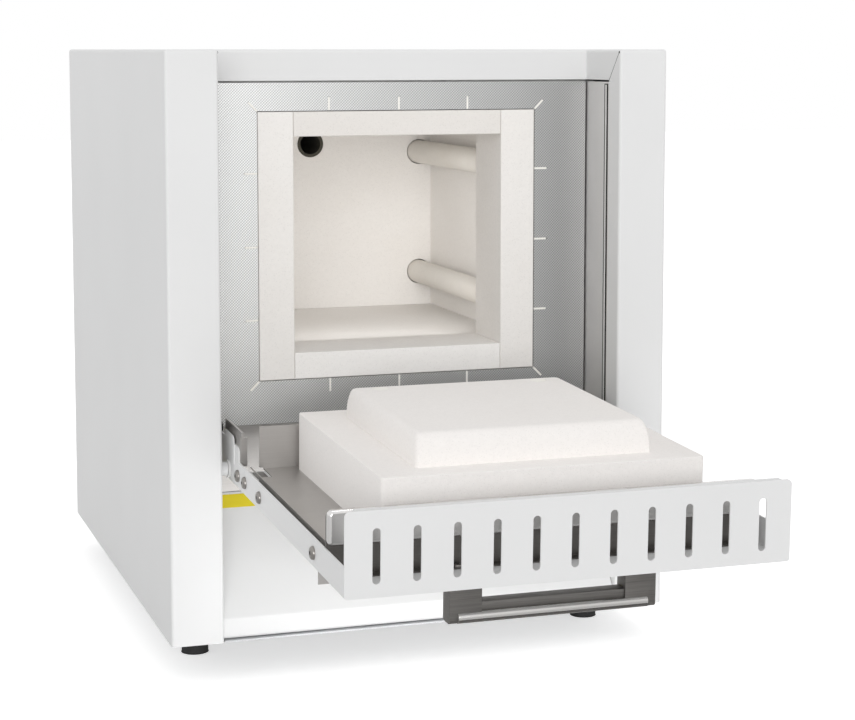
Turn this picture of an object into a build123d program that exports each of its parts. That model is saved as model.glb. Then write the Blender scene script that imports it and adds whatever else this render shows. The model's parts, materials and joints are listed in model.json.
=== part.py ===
from build123d import *
import os
from math import cos, radians, sin, sqrt

# Bench-top muffle furnace with a drop-down door, shown with its door open.
# Millimetres, +Z up, -Y towards the user, origin on the bench under the middle of its whole length.

# Housing
body_width = 530.0
body_depth = 620.0
body_height = 590.0
foot_height = 38.0
foot_radius = 15.0
foot_side_inset = 45.0
foot_front_inset = 107.0
foot_rear_inset = 60.0
sheet = 1.5
fold_radius = 3.0
panel_gap = 0.2
column_width = 53.0
recess_depth = 90.0
flank_depth = 28.5
fascia_height = 32.0
mitre_slit = 0.5
relief_hole_radius = 1.2

# Stainless lining of the door recess
plate_sheet = 1.0
plate_top_gap = 2.0
plate_fold = 12.0
shield_top = 202.0
liner_gap = 2.0
liner_recess = 0.6
slit_length = 14.5
slit_width = 2.2
slit_spacing = 76.0
corner_slit_length = 13.0

# Lower front panel, inclined towards the user
strip_setback = 7.0
strip_bottom = 1.7
incline_bottom = 22.0
incline_top = 133.0
band_height = 21.0
band_sheet = 0.4

# Fired brick lining and its collar round the mouth
opening_width = 228.5
opening_height = 225.5
opening_sill = 275.0
collar_width = 303.5
collar_height = 278.5
collar_depth = 79.0
collar_gap = 0.8
brick_joint = 0.4
chamber_width = 301.0
chamber_depth = 268.0
ceiling_rise = 8.0
wall_brick = 50.0
floor_brick = 50.0
roof_brick = 40.0
side_fibre = 25.0
top_fibre = 15.0
bottom_fibre = 20.0
rear_fibre = 30.0
casing_sheet = 1.0

# Heating, exhaust and temperature probe
tube_radius = 14.0
tube_bore_radius = 10.0
tube_side_offset = 135.0
tube_low = 316.5
tube_high = 464.7
tube_socket = 12.0
tube_clearance = 1.2
tube_tail = 9.0
heater_radius = 7.0
heater_fit = 0.3
terminal_radius = 4.0
terminal_length = 26.0
exhaust_offset = -3.0
exhaust_height = 476.0
exhaust_bore_radius = 12.5
exhaust_tube_radius = 16.0
spigot_radius = 20.0
spigot_length = 30.0
spigot_flange_radius = 34.0
probe_offset = -70.0
probe_radius = 4.0
probe_reach = 28.0
probe_head_radius = 11.0
probe_head_length = 24.0

# Door, given from its hinge: along the door (v) and square to it (w)
door_droop = 1.9
hinge_height = 172.7
door_side_gap = 10.8
door_closed_gap = 0.3
door_above_roof = 0.7
door_tail = 20.0
door_outer_drop = 11.5
door_flange_rise = 15.5
end_plate_rise = 61.5
end_plate_corner = 4.5
end_plate_hem = 8.0
slot_count = 11
slot_pitch = 34.8
slot_length = 47.0
slot_width = 7.0
slot_low = -0.5
ear_tail = 44.0
ear_front = 42.0
ear_rise = 30.0
ear_corner = 7.0
tray_floor = 14.5
tray_wall_height = 48.0
tray_rear_wall = 66.0
tray_rear_height = 56.0
tray_side_gap = 4.5
tray_rim = 2.0
tray_skirt = 18.0
tray_end_gap = 2.0
tray_corner = 9.0
tray_hem = 4.0
block_face = 70.0
block_width = 300.0
block_height = 275.0
block_edge = 4.0
plug_length = 28.5
plug_clearance = 3.25
plug_side_slant = 6.5
plug_hinge_slant = 6.5
plug_free_slant = 14.0
cap_radius = 8.0
cap_depth = 5.0
cap_spacing = 162.0
cap_inset = 16.0
cap_bolt_radius = 3.0
screw_positions = (41.0, 70.0, 129.0, 323.0)
screw_height = 2.0
screw_head_radius = 6.0
screw_head_height = 3.2
screw_shank_radius = 2.5

# Hinge
pin_radius = 4.0
pin_clearance = 0.05
bush_radius = 6.0
bush_flange_radius = 9.0
bush_flange = 2.0
pin_collar_radius = 7.0
pin_head_radius = 8.0
pin_head = 3.0
bracket_sheet = 4.0
bracket_height = 60.0
bracket_depth = 24.0
arm_sheet = 2.0
arm_top = 47.0
arm_tail = 22.0
arm_nose = 50.0
arm_front = 44.0
arm_lug_end = 84.0
arm_lug_top = 12.0
arm_bottom = -8.0
arm_flange = 5.0
buffer_radius = 5.0
buffer_setback = 55.0
buffer_gap = 0.3

# Handle
handle_length = 190.6
handle_block_width = 29.0
handle_block_depth = 18.0
handle_reach = 44.5
handle_free_edge = 373.5
handle_block_round = 4.0
grip_bar_top = 26.5
grip_bar_height = 8.0
grip_rod_radius = 5.0
grip_rod_length = 175.5
grip_rod_drop = 39.0
grip_rod_proud = 2.0
grip_fit = 0.05

# Fresh-air slide in the door
slide_length = 96.0
slide_height = 24.0
slide_travel = 25.0
slide_centre = 290.0
slide_start = -190.0
slide_sheet = 1.2
slide_fit = 0.3
slide_tab_width = 24.0
slide_tab_reach = 25.0
air_hole_radius = 5.0
air_hole_pitch = 20.0
rail_width = 8.0
rail_sheet = 1.2

# Controls, hidden under the open door in the photograph's view
panel_centre_x = 105.0
bezel_width = 120.0
bezel_height = 70.0
bezel_sheet = 3.0
display_width = 84.0
display_height = 30.0
display_sheet = 1.6
display_rise = 13.0
key_width = 18.0
key_height = 9.0
key_pitch = 26.0
key_drop = 18.0
key_proud = 2.2
key_travel = 1.2
key_fit = 0.3
key_skirt = 1.2
case_depth = 34.0
case_wall = 2.0
rocker_x = 15.0
rocker_width = 22.0
rocker_height = 28.0
rocker_frame_width = 4.0
rocker_throw = 12.0
rocker_fit = 0.3

# Base and rear
base_flange = 20.0
vent_length = 40.0
vent_width = 5.0
vent_pitch = 12.0
vent_count = 8
rear_flange = 14.0
rear_screw_inset = 12.0
gland_radius = 11.0
gland_length = 22.0
gland_x = 170.0
gland_height = 60.0
support_spacing = 320.0
support_depth = 300.0
support_flange = 24.0
power_width = 120.0
power_depth = 90.0
power_height = 60.0
power_fins = 7

# Places worked out from the sizes above
half_width = body_width / 2
hinge_setback = recess_depth - block_face - door_closed_gap
door_end = body_height + door_above_roof - hinge_height
door_reach = door_end * cos(radians(door_droop)) + end_plate_rise * sin(radians(door_droop))
front_y = (door_reach - hinge_setback - body_depth - spigot_length) / 2
rear_y = front_y + body_depth
middle_y = front_y + body_depth / 2
floor_z = foot_height
top_z = foot_height + body_height
recess_half = half_width - column_width
plate_y = front_y + recess_depth
fascia_z = top_z - fascia_height
collar_z = foot_height + opening_sill - (collar_height - opening_height) / 2 - 0.8
sill_z = foot_height + opening_sill
lintel_z = sill_z + opening_height
ceiling_z = lintel_z + ceiling_rise
chamber_front = plate_y + collar_depth
chamber_rear = chamber_front + chamber_depth
brick_half = chamber_width / 2 + wall_brick
brick_low = sill_z - floor_brick
brick_high = ceiling_z + roof_brick
brick_rear = chamber_rear + wall_brick
fibre_half = brick_half + side_fibre
fibre_low = brick_low - bottom_fibre
fibre_high = brick_high + top_fibre
fibre_rear = brick_rear + rear_fibre
casing_front = plate_y + plate_fold
casing_half = fibre_half + casing_sheet
casing_low = fibre_low - casing_sheet
casing_high = fibre_high + casing_sheet
casing_rear = fibre_rear + casing_sheet

hinge_y = front_y + hinge_setback
hinge_z = foot_height + hinge_height
door_half = recess_half - door_side_gap
door_floor = sheet - door_outer_drop
collar_centre = collar_z + collar_height / 2 - hinge_z
mouth_centre = (sill_z + lintel_z) / 2 - hinge_z
block_rear = collar_centre - block_height / 2
block_end = collar_centre + block_height / 2
plug_width = opening_width - 2 * plug_clearance
plug_height = opening_height - 2 * plug_clearance
tray_half = door_half - sheet - tray_side_gap
plug_rear = mouth_centre - plug_height / 2
plug_end = mouth_centre + plug_height / 2
cap_places = [(side * cap_spacing / 2, -plug_rear - cap_inset) for side in (-1, 1)]
tray_end = block_end + tray_end_gap
along = Vector(0, -cos(radians(door_droop)), -sin(radians(door_droop)))
square = Vector(0, -sin(radians(door_droop)), cos(radians(door_droop)))
hinge_point = Vector(0, hinge_y, hinge_z)

os.makedirs("parts", exist_ok=True)


# Plane lying on the open door at height w: its x runs across, its -y runs to the free edge.
def door_plane(w):
    return Plane(origin=hinge_point + square * w, x_dir=(1, 0, 0), z_dir=square)


# Side view of the door at x: its axes are v and w, and it faces the left.
def door_side(x):
    return Plane(origin=hinge_point + Vector(x, 0, 0), x_dir=along, z_dir=(-1, 0, 0))


# View of the door from its free edge at distance v: its axes are x and w, and it faces the user.
def door_front(v):
    return Plane(origin=hinge_point + along * v, x_dir=(1, 0, 0), z_dir=along)


# Plan of the housing inset by a sheet: a box with the door recess taken out of its front.
def housing_plan(inset, rear):
    outer = half_width - inset
    inner = recess_half + inset
    return [
        (-outer, rear),
        (-outer, front_y + inset),
        (-inner, front_y + inset),
        (-inner, plate_y + inset),
        (inner, plate_y + inset),
        (inner, front_y + inset),
        (outer, front_y + inset),
        (outer, rear),
    ]


# Housing cover: sides, roof, door columns and fascia folded from one sheet
with BuildPart() as housing_cover:
    with BuildSketch(Plane.XY.offset(floor_z)):
        with BuildLine():
            Polyline(*housing_plan(0, rear_y), close=True)
        make_face()
        fillet(vertices().group_by(Axis.Y)[0], radius=fold_radius)
    extrude(amount=body_height)
    fillet(faces().sort_by(Axis.Z)[-1].edges(), radius=fold_radius)
    with BuildSketch(Plane.XY.offset(floor_z)):
        with BuildLine():
            Polyline(*housing_plan(sheet, rear_y + fold_radius), close=True)
        make_face()
        fillet(vertices().group_by(Axis.Y)[0], radius=fold_radius - sheet)
    extrude(amount=body_height - sheet, mode=Mode.SUBTRACT)
    with BuildSketch(Plane.XY.offset(floor_z)):
        with Locations((0, front_y + flank_depth)):
            Rectangle(
                2 * (recess_half + sheet),
                recess_depth - flank_depth + sheet,
                align=(Align.CENTER, Align.MIN),
            )
    extrude(amount=fascia_z - floor_z, mode=Mode.SUBTRACT)
    with BuildSketch(Plane.YZ.offset(recess_half - sheet)):
        with BuildLine():
            Polyline(
                (front_y + fold_radius, top_z - fold_radius),
                (front_y + flank_depth, fascia_z),
                (front_y + flank_depth + mitre_slit, fascia_z),
                (front_y + fold_radius + mitre_slit, top_z - fold_radius),
                close=True,
            )
        make_face()
        with Locations((front_y + fold_radius, top_z - fold_radius)):
            Circle(relief_hole_radius)
    slit = extrude(amount=3 * sheet, mode=Mode.SUBTRACT)
    mirror(slit, about=Plane.YZ, mode=Mode.SUBTRACT)
    with BuildSketch(Plane.YZ.offset(recess_half - sheet)):
        with Locations((hinge_y, hinge_z)):
            Circle(pin_radius + pin_clearance)
    pin_hole = extrude(amount=3 * sheet, mode=Mode.SUBTRACT)
    mirror(pin_hole, about=Plane.YZ, mode=Mode.SUBTRACT)
housing_cover.part.label = "housing_cover"
export_step(housing_cover.part, "parts/housing_cover.step")

# Rear panel: a shallow pan with vent slots and holes for the exhaust and the mains gland
rear_low = floor_z + sheet + panel_gap
rear_high = top_z - sheet - panel_gap
rear_half = half_width - sheet - panel_gap
with BuildPart() as rear_panel:
    with BuildSketch(Plane.XZ.offset(-rear_y)):
        with Locations((0, (rear_low + rear_high) / 2)):
            Rectangle(2 * rear_half, rear_high - rear_low)
    extrude(amount=rear_flange)
    chamfer(faces().sort_by(Axis.Y)[-1].edges(), length=sheet / 2)
    with BuildSketch(Plane.XZ.offset(sheet - rear_y)):
        with Locations((0, (rear_low + rear_high) / 2)):
            Rectangle(2 * (rear_half - sheet), rear_high - rear_low - 2 * sheet)
    extrude(amount=rear_flange, mode=Mode.SUBTRACT)
    with BuildSketch(Plane.XZ.offset(-rear_y)):
        for vent_level in (rear_low + 90, rear_high - 60):
            with Locations((0, vent_level)):
                with GridLocations(vent_length * 2, vent_pitch, 3, vent_count // 2):
                    Rectangle(vent_length, vent_width)
        with Locations((exhaust_offset, foot_height + exhaust_height)):
            Circle(exhaust_tube_radius + 1)
        with Locations((gland_x, foot_height + gland_height)):
            Circle(gland_radius)
    extrude(amount=2 * sheet, mode=Mode.SUBTRACT)
rear_panel.part.label = "rear_panel"
export_step(rear_panel.part, "parts/rear_panel.step")

# Base plate: a pan with turned-up sides and rows of air slots
base_front = front_y + sheet + panel_gap
base_rear = rear_y - rear_flange - panel_gap
base_half = half_width - sheet - panel_gap
with BuildPart() as base_plate:
    with BuildSketch(Plane.XY.offset(floor_z)):
        with Locations((0, (base_front + base_rear) / 2)):
            Rectangle(2 * base_half, base_rear - base_front)
        fillet(vertices().group_by(Axis.Y)[0], radius=fold_radius)
        with Locations((recess_half + sheet / 2, base_front), (-recess_half - sheet / 2, base_front)):
            Rectangle(2 * sheet + 2 * panel_gap, 2 * flank_depth, mode=Mode.SUBTRACT)
    extrude(amount=base_flange)
    inside = base_half - sheet
    with BuildSketch(Plane.XY.offset(floor_z + sheet)):
        with Locations((0, (base_front + base_rear) / 2)):
            Rectangle(2 * inside, base_rear - base_front + 2 * sheet)
    extrude(amount=base_flange, mode=Mode.SUBTRACT)
    with BuildSketch(Plane.XY.offset(floor_z)):
        with Locations((0, middle_y)):
            with GridLocations(vent_length * 2, vent_pitch, 3, vent_count):
                Rectangle(vent_length, vent_width)
    extrude(amount=sheet, mode=Mode.SUBTRACT)
base_plate.part.label = "base_plate"
export_step(base_plate.part, "parts/base_plate.step")

# Feet: four rubber feet with a stem through the base plate
foot_places = [
    (side * (half_width - foot_side_inset), y)
    for side in (-1, 1)
    for y in (front_y + foot_front_inset, rear_y - foot_rear_inset)
]
with BuildPart() as feet:
    with BuildSketch(Plane.XY):
        with Locations(*foot_places):
            Circle(foot_radius)
    extrude(amount=foot_height)
    rims = feet.edges().filter_by(GeomType.CIRCLE).group_by(Axis.Z)[0]
    chamfer(rims, length=2)
feet.part.label = "feet"
export_step(feet.part, "parts/feet.step")

# Lower front panel: foot strip and incline, with cut-outs for the controls
incline_run = recess_depth - strip_setback
incline_rise = incline_top - incline_bottom
incline_length = sqrt(incline_run**2 + incline_rise**2)
incline_up = Vector(0, incline_run, incline_rise) / incline_length
incline_out = Vector(0, -incline_rise, incline_run) / incline_length
incline_mid = Vector(
    0,
    front_y + strip_setback + incline_run / 2,
    floor_z + (incline_bottom + incline_top) / 2,
)
panel_half = recess_half - liner_recess - panel_gap


# Plane on the incline, its y running up the slope, lifted square off it by the given height.
def incline_plane(lift):
    return Plane(origin=incline_mid + incline_out * lift, x_dir=(1, 0, 0), z_dir=incline_out)


with BuildPart() as lower_front_panel:
    with BuildSketch(Plane.YZ.offset(-panel_half)):
        with BuildLine():
            FilletPolyline(
                (front_y + strip_setback + 30, floor_z + strip_bottom),
                (front_y + strip_setback, floor_z + strip_bottom),
                (front_y + strip_setback, floor_z + incline_bottom),
                (plate_y, floor_z + incline_top),
                (plate_y + 10, floor_z + incline_top),
                radius=fold_radius,
            )
            offset(amount=sheet, side=Side.RIGHT)
        make_face()
    extrude(amount=2 * panel_half)
    with BuildSketch(incline_plane(1)):
        with Locations((panel_centre_x, 0)):
            Rectangle(bezel_width - 8, bezel_height - 8)
        with Locations((rocker_x, 0)):
            Rectangle(rocker_width + 2 * rocker_fit, rocker_height + 2 * rocker_fit)
    extrude(amount=-4 * sheet, mode=Mode.SUBTRACT)
lower_front_panel.part.label = "lower_front_panel"
export_step(lower_front_panel.part, "parts/lower_front_panel.step")

# Colour band: a thin strip along the top of the incline
with BuildPart() as colour_band:
    with BuildSketch(incline_plane(0)):
        with Locations((0, incline_length / 2 - fold_radius)):
            Rectangle(2 * panel_half, band_height, align=(Align.CENTER, Align.MAX))
    extrude(amount=band_sheet)
colour_band.part.label = "colour_band"
export_step(colour_band.part, "parts/colour_band.step")

# Front plate: stainless pan round the collar, slit so that it can grow with heat
plate_low = floor_z + shield_top
plate_high = fascia_z - plate_top_gap
plate_half = recess_half - liner_recess - panel_gap
collar_mid_z = collar_z + collar_height / 2
slit_x = collar_width / 2 + collar_gap
slit_z = collar_height / 2 + collar_gap
with BuildPart() as front_plate:
    with BuildSketch(Plane.XZ.offset(-plate_y)):
        with Locations((0, (plate_low + plate_high) / 2)):
            Rectangle(2 * plate_half, plate_high - plate_low)
    extrude(amount=-plate_fold)
    with BuildSketch(Plane.XZ.offset(-plate_y - plate_sheet)):
        with Locations((0, (plate_low + plate_high) / 2)):
            Rectangle(2 * (plate_half - plate_sheet), plate_high - plate_low - 2 * plate_sheet)
    extrude(amount=-plate_fold, mode=Mode.SUBTRACT)
    with BuildSketch(Plane.XZ.offset(-plate_y)):
        with Locations((0, collar_mid_z)):
            Rectangle(2 * slit_x, 2 * slit_z)
            for step in (-1, 0, 1):
                with Locations((step * slit_spacing, slit_z), (step * slit_spacing, -slit_z)):
                    Rectangle(slit_width, 2 * slit_length)
                with Locations((slit_x, step * slit_spacing), (-slit_x, step * slit_spacing)):
                    Rectangle(2 * slit_length, slit_width)
            with Locations((slit_x, slit_z), (-slit_x, -slit_z)):
                Rectangle(2 * corner_slit_length, slit_width, rotation=45)
            with Locations((-slit_x, slit_z), (slit_x, -slit_z)):
                Rectangle(2 * corner_slit_length, slit_width, rotation=135)
    extrude(amount=-plate_sheet, mode=Mode.SUBTRACT)
front_plate.part.label = "front_plate"
export_step(front_plate.part, "parts/front_plate.step")

# Lower shield plate: smooth stainless strip between the front plate and the incline
with BuildPart() as lower_shield_plate:
    with BuildSketch(Plane.XZ.offset(-plate_y)):
        with Locations((0, floor_z + incline_top + 2 * panel_gap)):
            Rectangle(
                2 * plate_half,
                shield_top - incline_top - 3 * panel_gap,
                align=(Align.CENTER, Align.MIN),
            )
    extrude(amount=-plate_sheet)
lower_shield_plate.part.label = "lower_shield_plate"
export_step(lower_shield_plate.part, "parts/lower_shield_plate.step")

# Recess liners: stainless side walls between the painted flanks and the front plate
liner_front = front_y + flank_depth + liner_gap
liner_rear = casing_front - panel_gap
for side, name in ((-1, "left"), (1, "right")):
    with BuildPart() as liner:
        with BuildSketch(Plane.XY.offset(floor_z + sheet + panel_gap)):
            with BuildLine():
                FilletPolyline(
                    (side * (recess_half + 8), liner_front),
                    (side * (recess_half + liner_recess), liner_front),
                    (side * (recess_half + liner_recess), liner_rear),
                    (side * (casing_half + 2 * panel_gap), liner_rear),
                    radius=1.5,
                )
                offset(amount=plate_sheet, side=Side.LEFT if side < 0 else Side.RIGHT)
            make_face()
        extrude(amount=fascia_z - plate_top_gap - floor_z - sheet - panel_gap)
    liner.part.label = f"{name}_recess_liner"
    export_step(liner.part, f"parts/{name}_recess_liner.step")

# Collar: two posts, a lintel and a sill of fired brick round the mouth
post_width = (collar_width - opening_width) / 2
collar_top = collar_z + collar_height
for side, name in ((-1, "left"), (1, "right")):
    with BuildPart() as post:
        with BuildSketch(Plane.XZ.offset(-plate_y)):
            with Locations((side * (opening_width + post_width) / 2, collar_mid_z)):
                Rectangle(post_width, collar_height)
        extrude(amount=-collar_depth)
        chamfer(post.faces().sort_by(Axis.Y)[0].edges(), length=0.6)
        with BuildSketch(Plane.XZ.offset(-chamber_front)):
            for level in (tube_low, tube_high):
                with Locations((side * tube_side_offset, foot_height + level)):
                    Circle(tube_radius + heater_fit)
        extrude(amount=tube_socket, mode=Mode.SUBTRACT)
    post.part.label = f"collar_post_{name}"
    export_step(post.part, f"parts/collar_post_{name}.step")

with BuildPart() as collar_lintel:
    with BuildSketch(Plane.XZ.offset(-plate_y)):
        with Locations((0, lintel_z)):
            Rectangle(
                opening_width - 2 * brick_joint,
                collar_top - lintel_z,
                align=(Align.CENTER, Align.MIN),
            )
    extrude(amount=-collar_depth)
    chamfer(collar_lintel.faces().sort_by(Axis.Y)[0].edges(), length=0.6)
collar_lintel.part.label = "collar_lintel"
export_step(collar_lintel.part, "parts/collar_lintel.step")

with BuildPart() as collar_sill:
    with BuildSketch(Plane.XZ.offset(-plate_y)):
        with Locations((0, collar_z)):
            Rectangle(
                opening_width - 2 * brick_joint,
                sill_z - collar_z,
                align=(Align.CENTER, Align.MIN),
            )
    extrude(amount=-collar_depth)
    chamfer(collar_sill.faces().sort_by(Axis.Y)[0].edges(), length=0.6)
collar_sill.part.label = "collar_sill"
export_step(collar_sill.part, "parts/collar_sill.step")

# Chamber lining: floor, roof and three walls of light fired brick
with BuildPart() as chamber_floor:
    with BuildSketch(Plane.XY.offset(brick_low)):
        with Locations((0, chamber_front)):
            Rectangle(2 * brick_half, brick_rear - chamber_front, align=(Align.CENTER, Align.MIN))
    extrude(amount=floor_brick)
chamber_floor.part.label = "chamber_floor"
export_step(chamber_floor.part, "parts/chamber_floor.step")

with BuildPart() as chamber_roof:
    with BuildSketch(Plane.XY.offset(ceiling_z)):
        with Locations((0, chamber_front)):
            Rectangle(2 * brick_half, brick_rear - chamber_front, align=(Align.CENTER, Align.MIN))
    extrude(amount=roof_brick)
chamber_roof.part.label = "chamber_roof"
export_step(chamber_roof.part, "parts/chamber_roof.step")

for side, name in ((-1, "left"), (1, "right")):
    with BuildPart() as wall:
        with BuildSketch(Plane.XY.offset(sill_z + brick_joint / 2)):
            with Locations((side * (chamber_width + wall_brick) / 2, chamber_front)):
                Rectangle(wall_brick, chamber_depth, align=(Align.CENTER, Align.MIN))
        extrude(amount=ceiling_z - sill_z - brick_joint)
    wall.part.label = f"chamber_wall_{name}"
    export_step(wall.part, f"parts/chamber_wall_{name}.step")

tube_places = [
    (side * tube_side_offset, foot_height + level) for side in (-1, 1) for level in (tube_low, tube_high)
]
exhaust_place = (exhaust_offset, foot_height + exhaust_height)
probe_place = (probe_offset, foot_height + exhaust_height)


# Holes that the tubes, the exhaust and the probe need through a wall at the rear.
def rear_openings():
    with Locations(*tube_places):
        Circle(tube_radius + tube_clearance)
    with Locations(exhaust_place):
        Circle(exhaust_tube_radius + heater_fit)
    with Locations(probe_place):
        Circle(probe_radius + heater_fit)


with BuildPart() as chamber_wall_rear:
    with BuildSketch(Plane.XZ.offset(-chamber_rear)):
        with Locations((0, (sill_z + ceiling_z) / 2)):
            Rectangle(2 * brick_half, ceiling_z - sill_z - brick_joint)
    extrude(amount=-wall_brick)
    with BuildSketch(Plane.XZ.offset(-chamber_rear)):
        rear_openings()
    extrude(amount=-wall_brick, mode=Mode.SUBTRACT)
chamber_wall_rear.part.label = "chamber_wall_rear"
export_step(chamber_wall_rear.part, "parts/chamber_wall_rear.step")

# Backup insulation: fibre board all round the brick, and a facing board behind the front plate
board_inset = plate_sheet + heater_fit
with BuildPart() as backup_insulation:
    with BuildSketch(Plane.XZ.offset(-plate_y - board_inset)):
        with Locations((0, (plate_low + plate_high) / 2)):
            Rectangle(2 * (plate_half - board_inset), plate_high - plate_low - 2 * board_inset)
    extrude(amount=board_inset - plate_fold)
    with BuildSketch(Plane.XZ.offset(-casing_front)):
        with Locations((0, (fibre_low + fibre_high) / 2)):
            Rectangle(2 * fibre_half, fibre_high - fibre_low)
    extrude(amount=casing_front - fibre_rear)
    with BuildSketch(Plane.XZ.offset(-plate_y)):
        with Locations((0, collar_mid_z)):
            Rectangle(2 * slit_x, 2 * slit_z)
    extrude(amount=plate_y - chamber_front, mode=Mode.SUBTRACT)
    with BuildSketch(Plane.XZ.offset(-chamber_front)):
        with Locations((0, (brick_low + brick_high) / 2)):
            Rectangle(2 * brick_half, brick_high - brick_low)
    extrude(amount=chamber_front - brick_rear, mode=Mode.SUBTRACT)
    with BuildSketch(Plane.XZ.offset(-brick_rear)):
        rear_openings()
    extrude(amount=-rear_fibre, mode=Mode.SUBTRACT)
backup_insulation.part.label = "backup_insulation"
export_step(backup_insulation.part, "parts/backup_insulation.step")

# Inner casing: steel box that holds the fibre board, open towards the front plate
with BuildPart() as inner_casing:
    with BuildSketch(Plane.XZ.offset(-casing_front)):
        with Locations((0, (casing_low + casing_high) / 2)):
            Rectangle(2 * casing_half, casing_high - casing_low)
    extrude(amount=casing_front - casing_rear)
    with BuildSketch(Plane.XZ.offset(-casing_front)):
        with Locations((0, (fibre_low + fibre_high) / 2)):
            Rectangle(2 * fibre_half, fibre_high - fibre_low)
    extrude(amount=casing_front - fibre_rear, mode=Mode.SUBTRACT)
    with BuildSketch(Plane.XZ.offset(-fibre_rear)):
        rear_openings()
    extrude(amount=-casing_sheet, mode=Mode.SUBTRACT)
inner_casing.part.label = "inner_casing"
export_step(inner_casing.part, "parts/inner_casing.step")

# Casing supports: two folded trestles that carry the inner casing on the base plate
with BuildPart() as casing_supports:
    for side in (-1, 1):
        with BuildSketch(Plane.XZ.offset(support_depth / 2 - middle_y)):
            with BuildLine():
                FilletPolyline(
                    (side * (support_spacing / 2 - support_flange), floor_z + sheet),
                    (side * support_spacing / 2, floor_z + sheet),
                    (side * support_spacing / 2, casing_low),
                    (side * (support_spacing / 2 - support_flange), casing_low),
                    radius=fold_radius,
                )
                offset(amount=sheet, side=Side.RIGHT if side < 0 else Side.LEFT)
            make_face()
        extrude(amount=-support_depth)
casing_supports.part.label = "casing_supports"
export_step(casing_supports.part, "parts/casing_supports.step")

# Heating tubes: four ceramic tubes, socketed in the collar and led out through the rear wall
tube_front = chamber_front - tube_socket + heater_fit
tube_rear = casing_rear + tube_tail
with BuildPart() as heating_tubes:
    with BuildSketch(Plane.XZ.offset(-tube_front)):
        with Locations(*tube_places):
            Circle(tube_radius)
            Circle(tube_bore_radius, mode=Mode.SUBTRACT)
    extrude(amount=tube_front - tube_rear)
heating_tubes.part.label = "heating_tubes"
export_step(heating_tubes.part, "parts/heating_tubes.step")

# Heating elements: a wound rod in each tube, centred by end plugs, with a terminal at the rear
with BuildPart() as heating_elements:
    for place_x, place_z in tube_places:
        with BuildSketch(Plane.YZ.offset(place_x)):
            with BuildLine():
                Polyline(
                    (tube_front + 2, place_z),
                    (tube_front + 2, place_z + tube_bore_radius - heater_fit),
                    (tube_front + 14, place_z + tube_bore_radius - heater_fit),
                    (tube_front + 14, place_z + heater_radius),
                    (tube_rear + 2, place_z + heater_radius),
                    (tube_rear + 2, place_z + terminal_radius),
                    (tube_rear + terminal_length, place_z + terminal_radius),
                    (tube_rear + terminal_length, place_z),
                    close=True,
                )
            make_face()
        revolve(axis=Axis((place_x, 0, place_z), (0, 1, 0)))
heating_elements.part.label = "heating_elements"
export_step(heating_elements.part, "parts/heating_elements.step")

# Thermocouple: ceramic sheath through the rear wall with its connection head
with BuildPart() as thermocouple:
    with BuildSketch(Plane.XZ.offset(probe_reach - chamber_rear)):
        with Locations(probe_place):
            Circle(probe_radius)
    extrude(amount=chamber_rear - probe_reach - casing_rear - heater_fit)
    with BuildSketch(Plane.XZ.offset(-casing_rear - heater_fit)):
        with Locations(probe_place):
            Circle(probe_head_radius)
    extrude(amount=-probe_head_length)
thermocouple.part.label = "thermocouple"
export_step(thermocouple.part, "parts/thermocouple.step")

# Exhaust: ceramic tube through the rear wall and a flanged stainless spigot outside
with BuildPart() as exhaust_tube:
    with BuildSketch(Plane.XZ.offset(-chamber_rear)):
        with Locations(exhaust_place):
            Circle(exhaust_tube_radius)
            Circle(exhaust_bore_radius, mode=Mode.SUBTRACT)
    extrude(amount=chamber_rear - rear_y + sheet + heater_fit)
exhaust_tube.part.label = "exhaust_tube"
export_step(exhaust_tube.part, "parts/exhaust_tube.step")

with BuildPart() as exhaust_spigot:
    with BuildSketch(Plane.XZ.offset(-rear_y)):
        with Locations(exhaust_place):
            Circle(spigot_flange_radius)
            Circle(exhaust_bore_radius, mode=Mode.SUBTRACT)
    extrude(amount=-2)
    with BuildSketch(Plane.XZ.offset(-rear_y)):
        with Locations(exhaust_place):
            Circle(spigot_radius)
            Circle(spigot_radius - 1.5, mode=Mode.SUBTRACT)
    extrude(amount=-spigot_length)
exhaust_spigot.part.label = "exhaust_spigot"
export_step(exhaust_spigot.part, "parts/exhaust_spigot.step")

# Mains gland: the cable entry, closed by its blanking plug
with BuildPart() as mains_gland:
    with BuildSketch(Plane.YZ.offset(gland_x)):
        with BuildLine():
            level = foot_height + gland_height
            Polyline(
                (rear_y - sheet - 6, level),
                (rear_y - sheet - 6, level + gland_radius - 0.2),
                (rear_y, level + gland_radius - 0.2),
                (rear_y, level + gland_radius + 4),
                (rear_y + gland_length / 3, level + gland_radius + 4),
                (rear_y + gland_length / 3, level + gland_radius),
                (rear_y + gland_length, level + gland_radius / 2 + 2),
                (rear_y + gland_length, level),
                close=True,
            )
        make_face()
    revolve(axis=Axis((gland_x, 0, foot_height + gland_height), (0, 1, 0)))
mains_gland.part.label = "mains_gland"
export_step(mains_gland.part, "parts/mains_gland.step")

# Power unit: relay block with a finned heat sink, on the base plate behind the controls
with BuildPart() as power_unit:
    with BuildSketch(Plane.XY.offset(floor_z + sheet)):
        with Locations((0, middle_y + support_depth / 4)):
            Rectangle(power_width, power_depth)
    extrude(amount=power_height / 2)
    with BuildSketch(Plane.XY.offset(floor_z + sheet + power_height / 2)):
        with Locations((0, middle_y + support_depth / 4)):
            with GridLocations(power_width / power_fins, 1, power_fins, 1):
                Rectangle(3, power_depth)
    extrude(amount=power_height / 2)
power_unit.part.label = "power_unit"
export_step(power_unit.part, "parts/power_unit.step")

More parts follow.
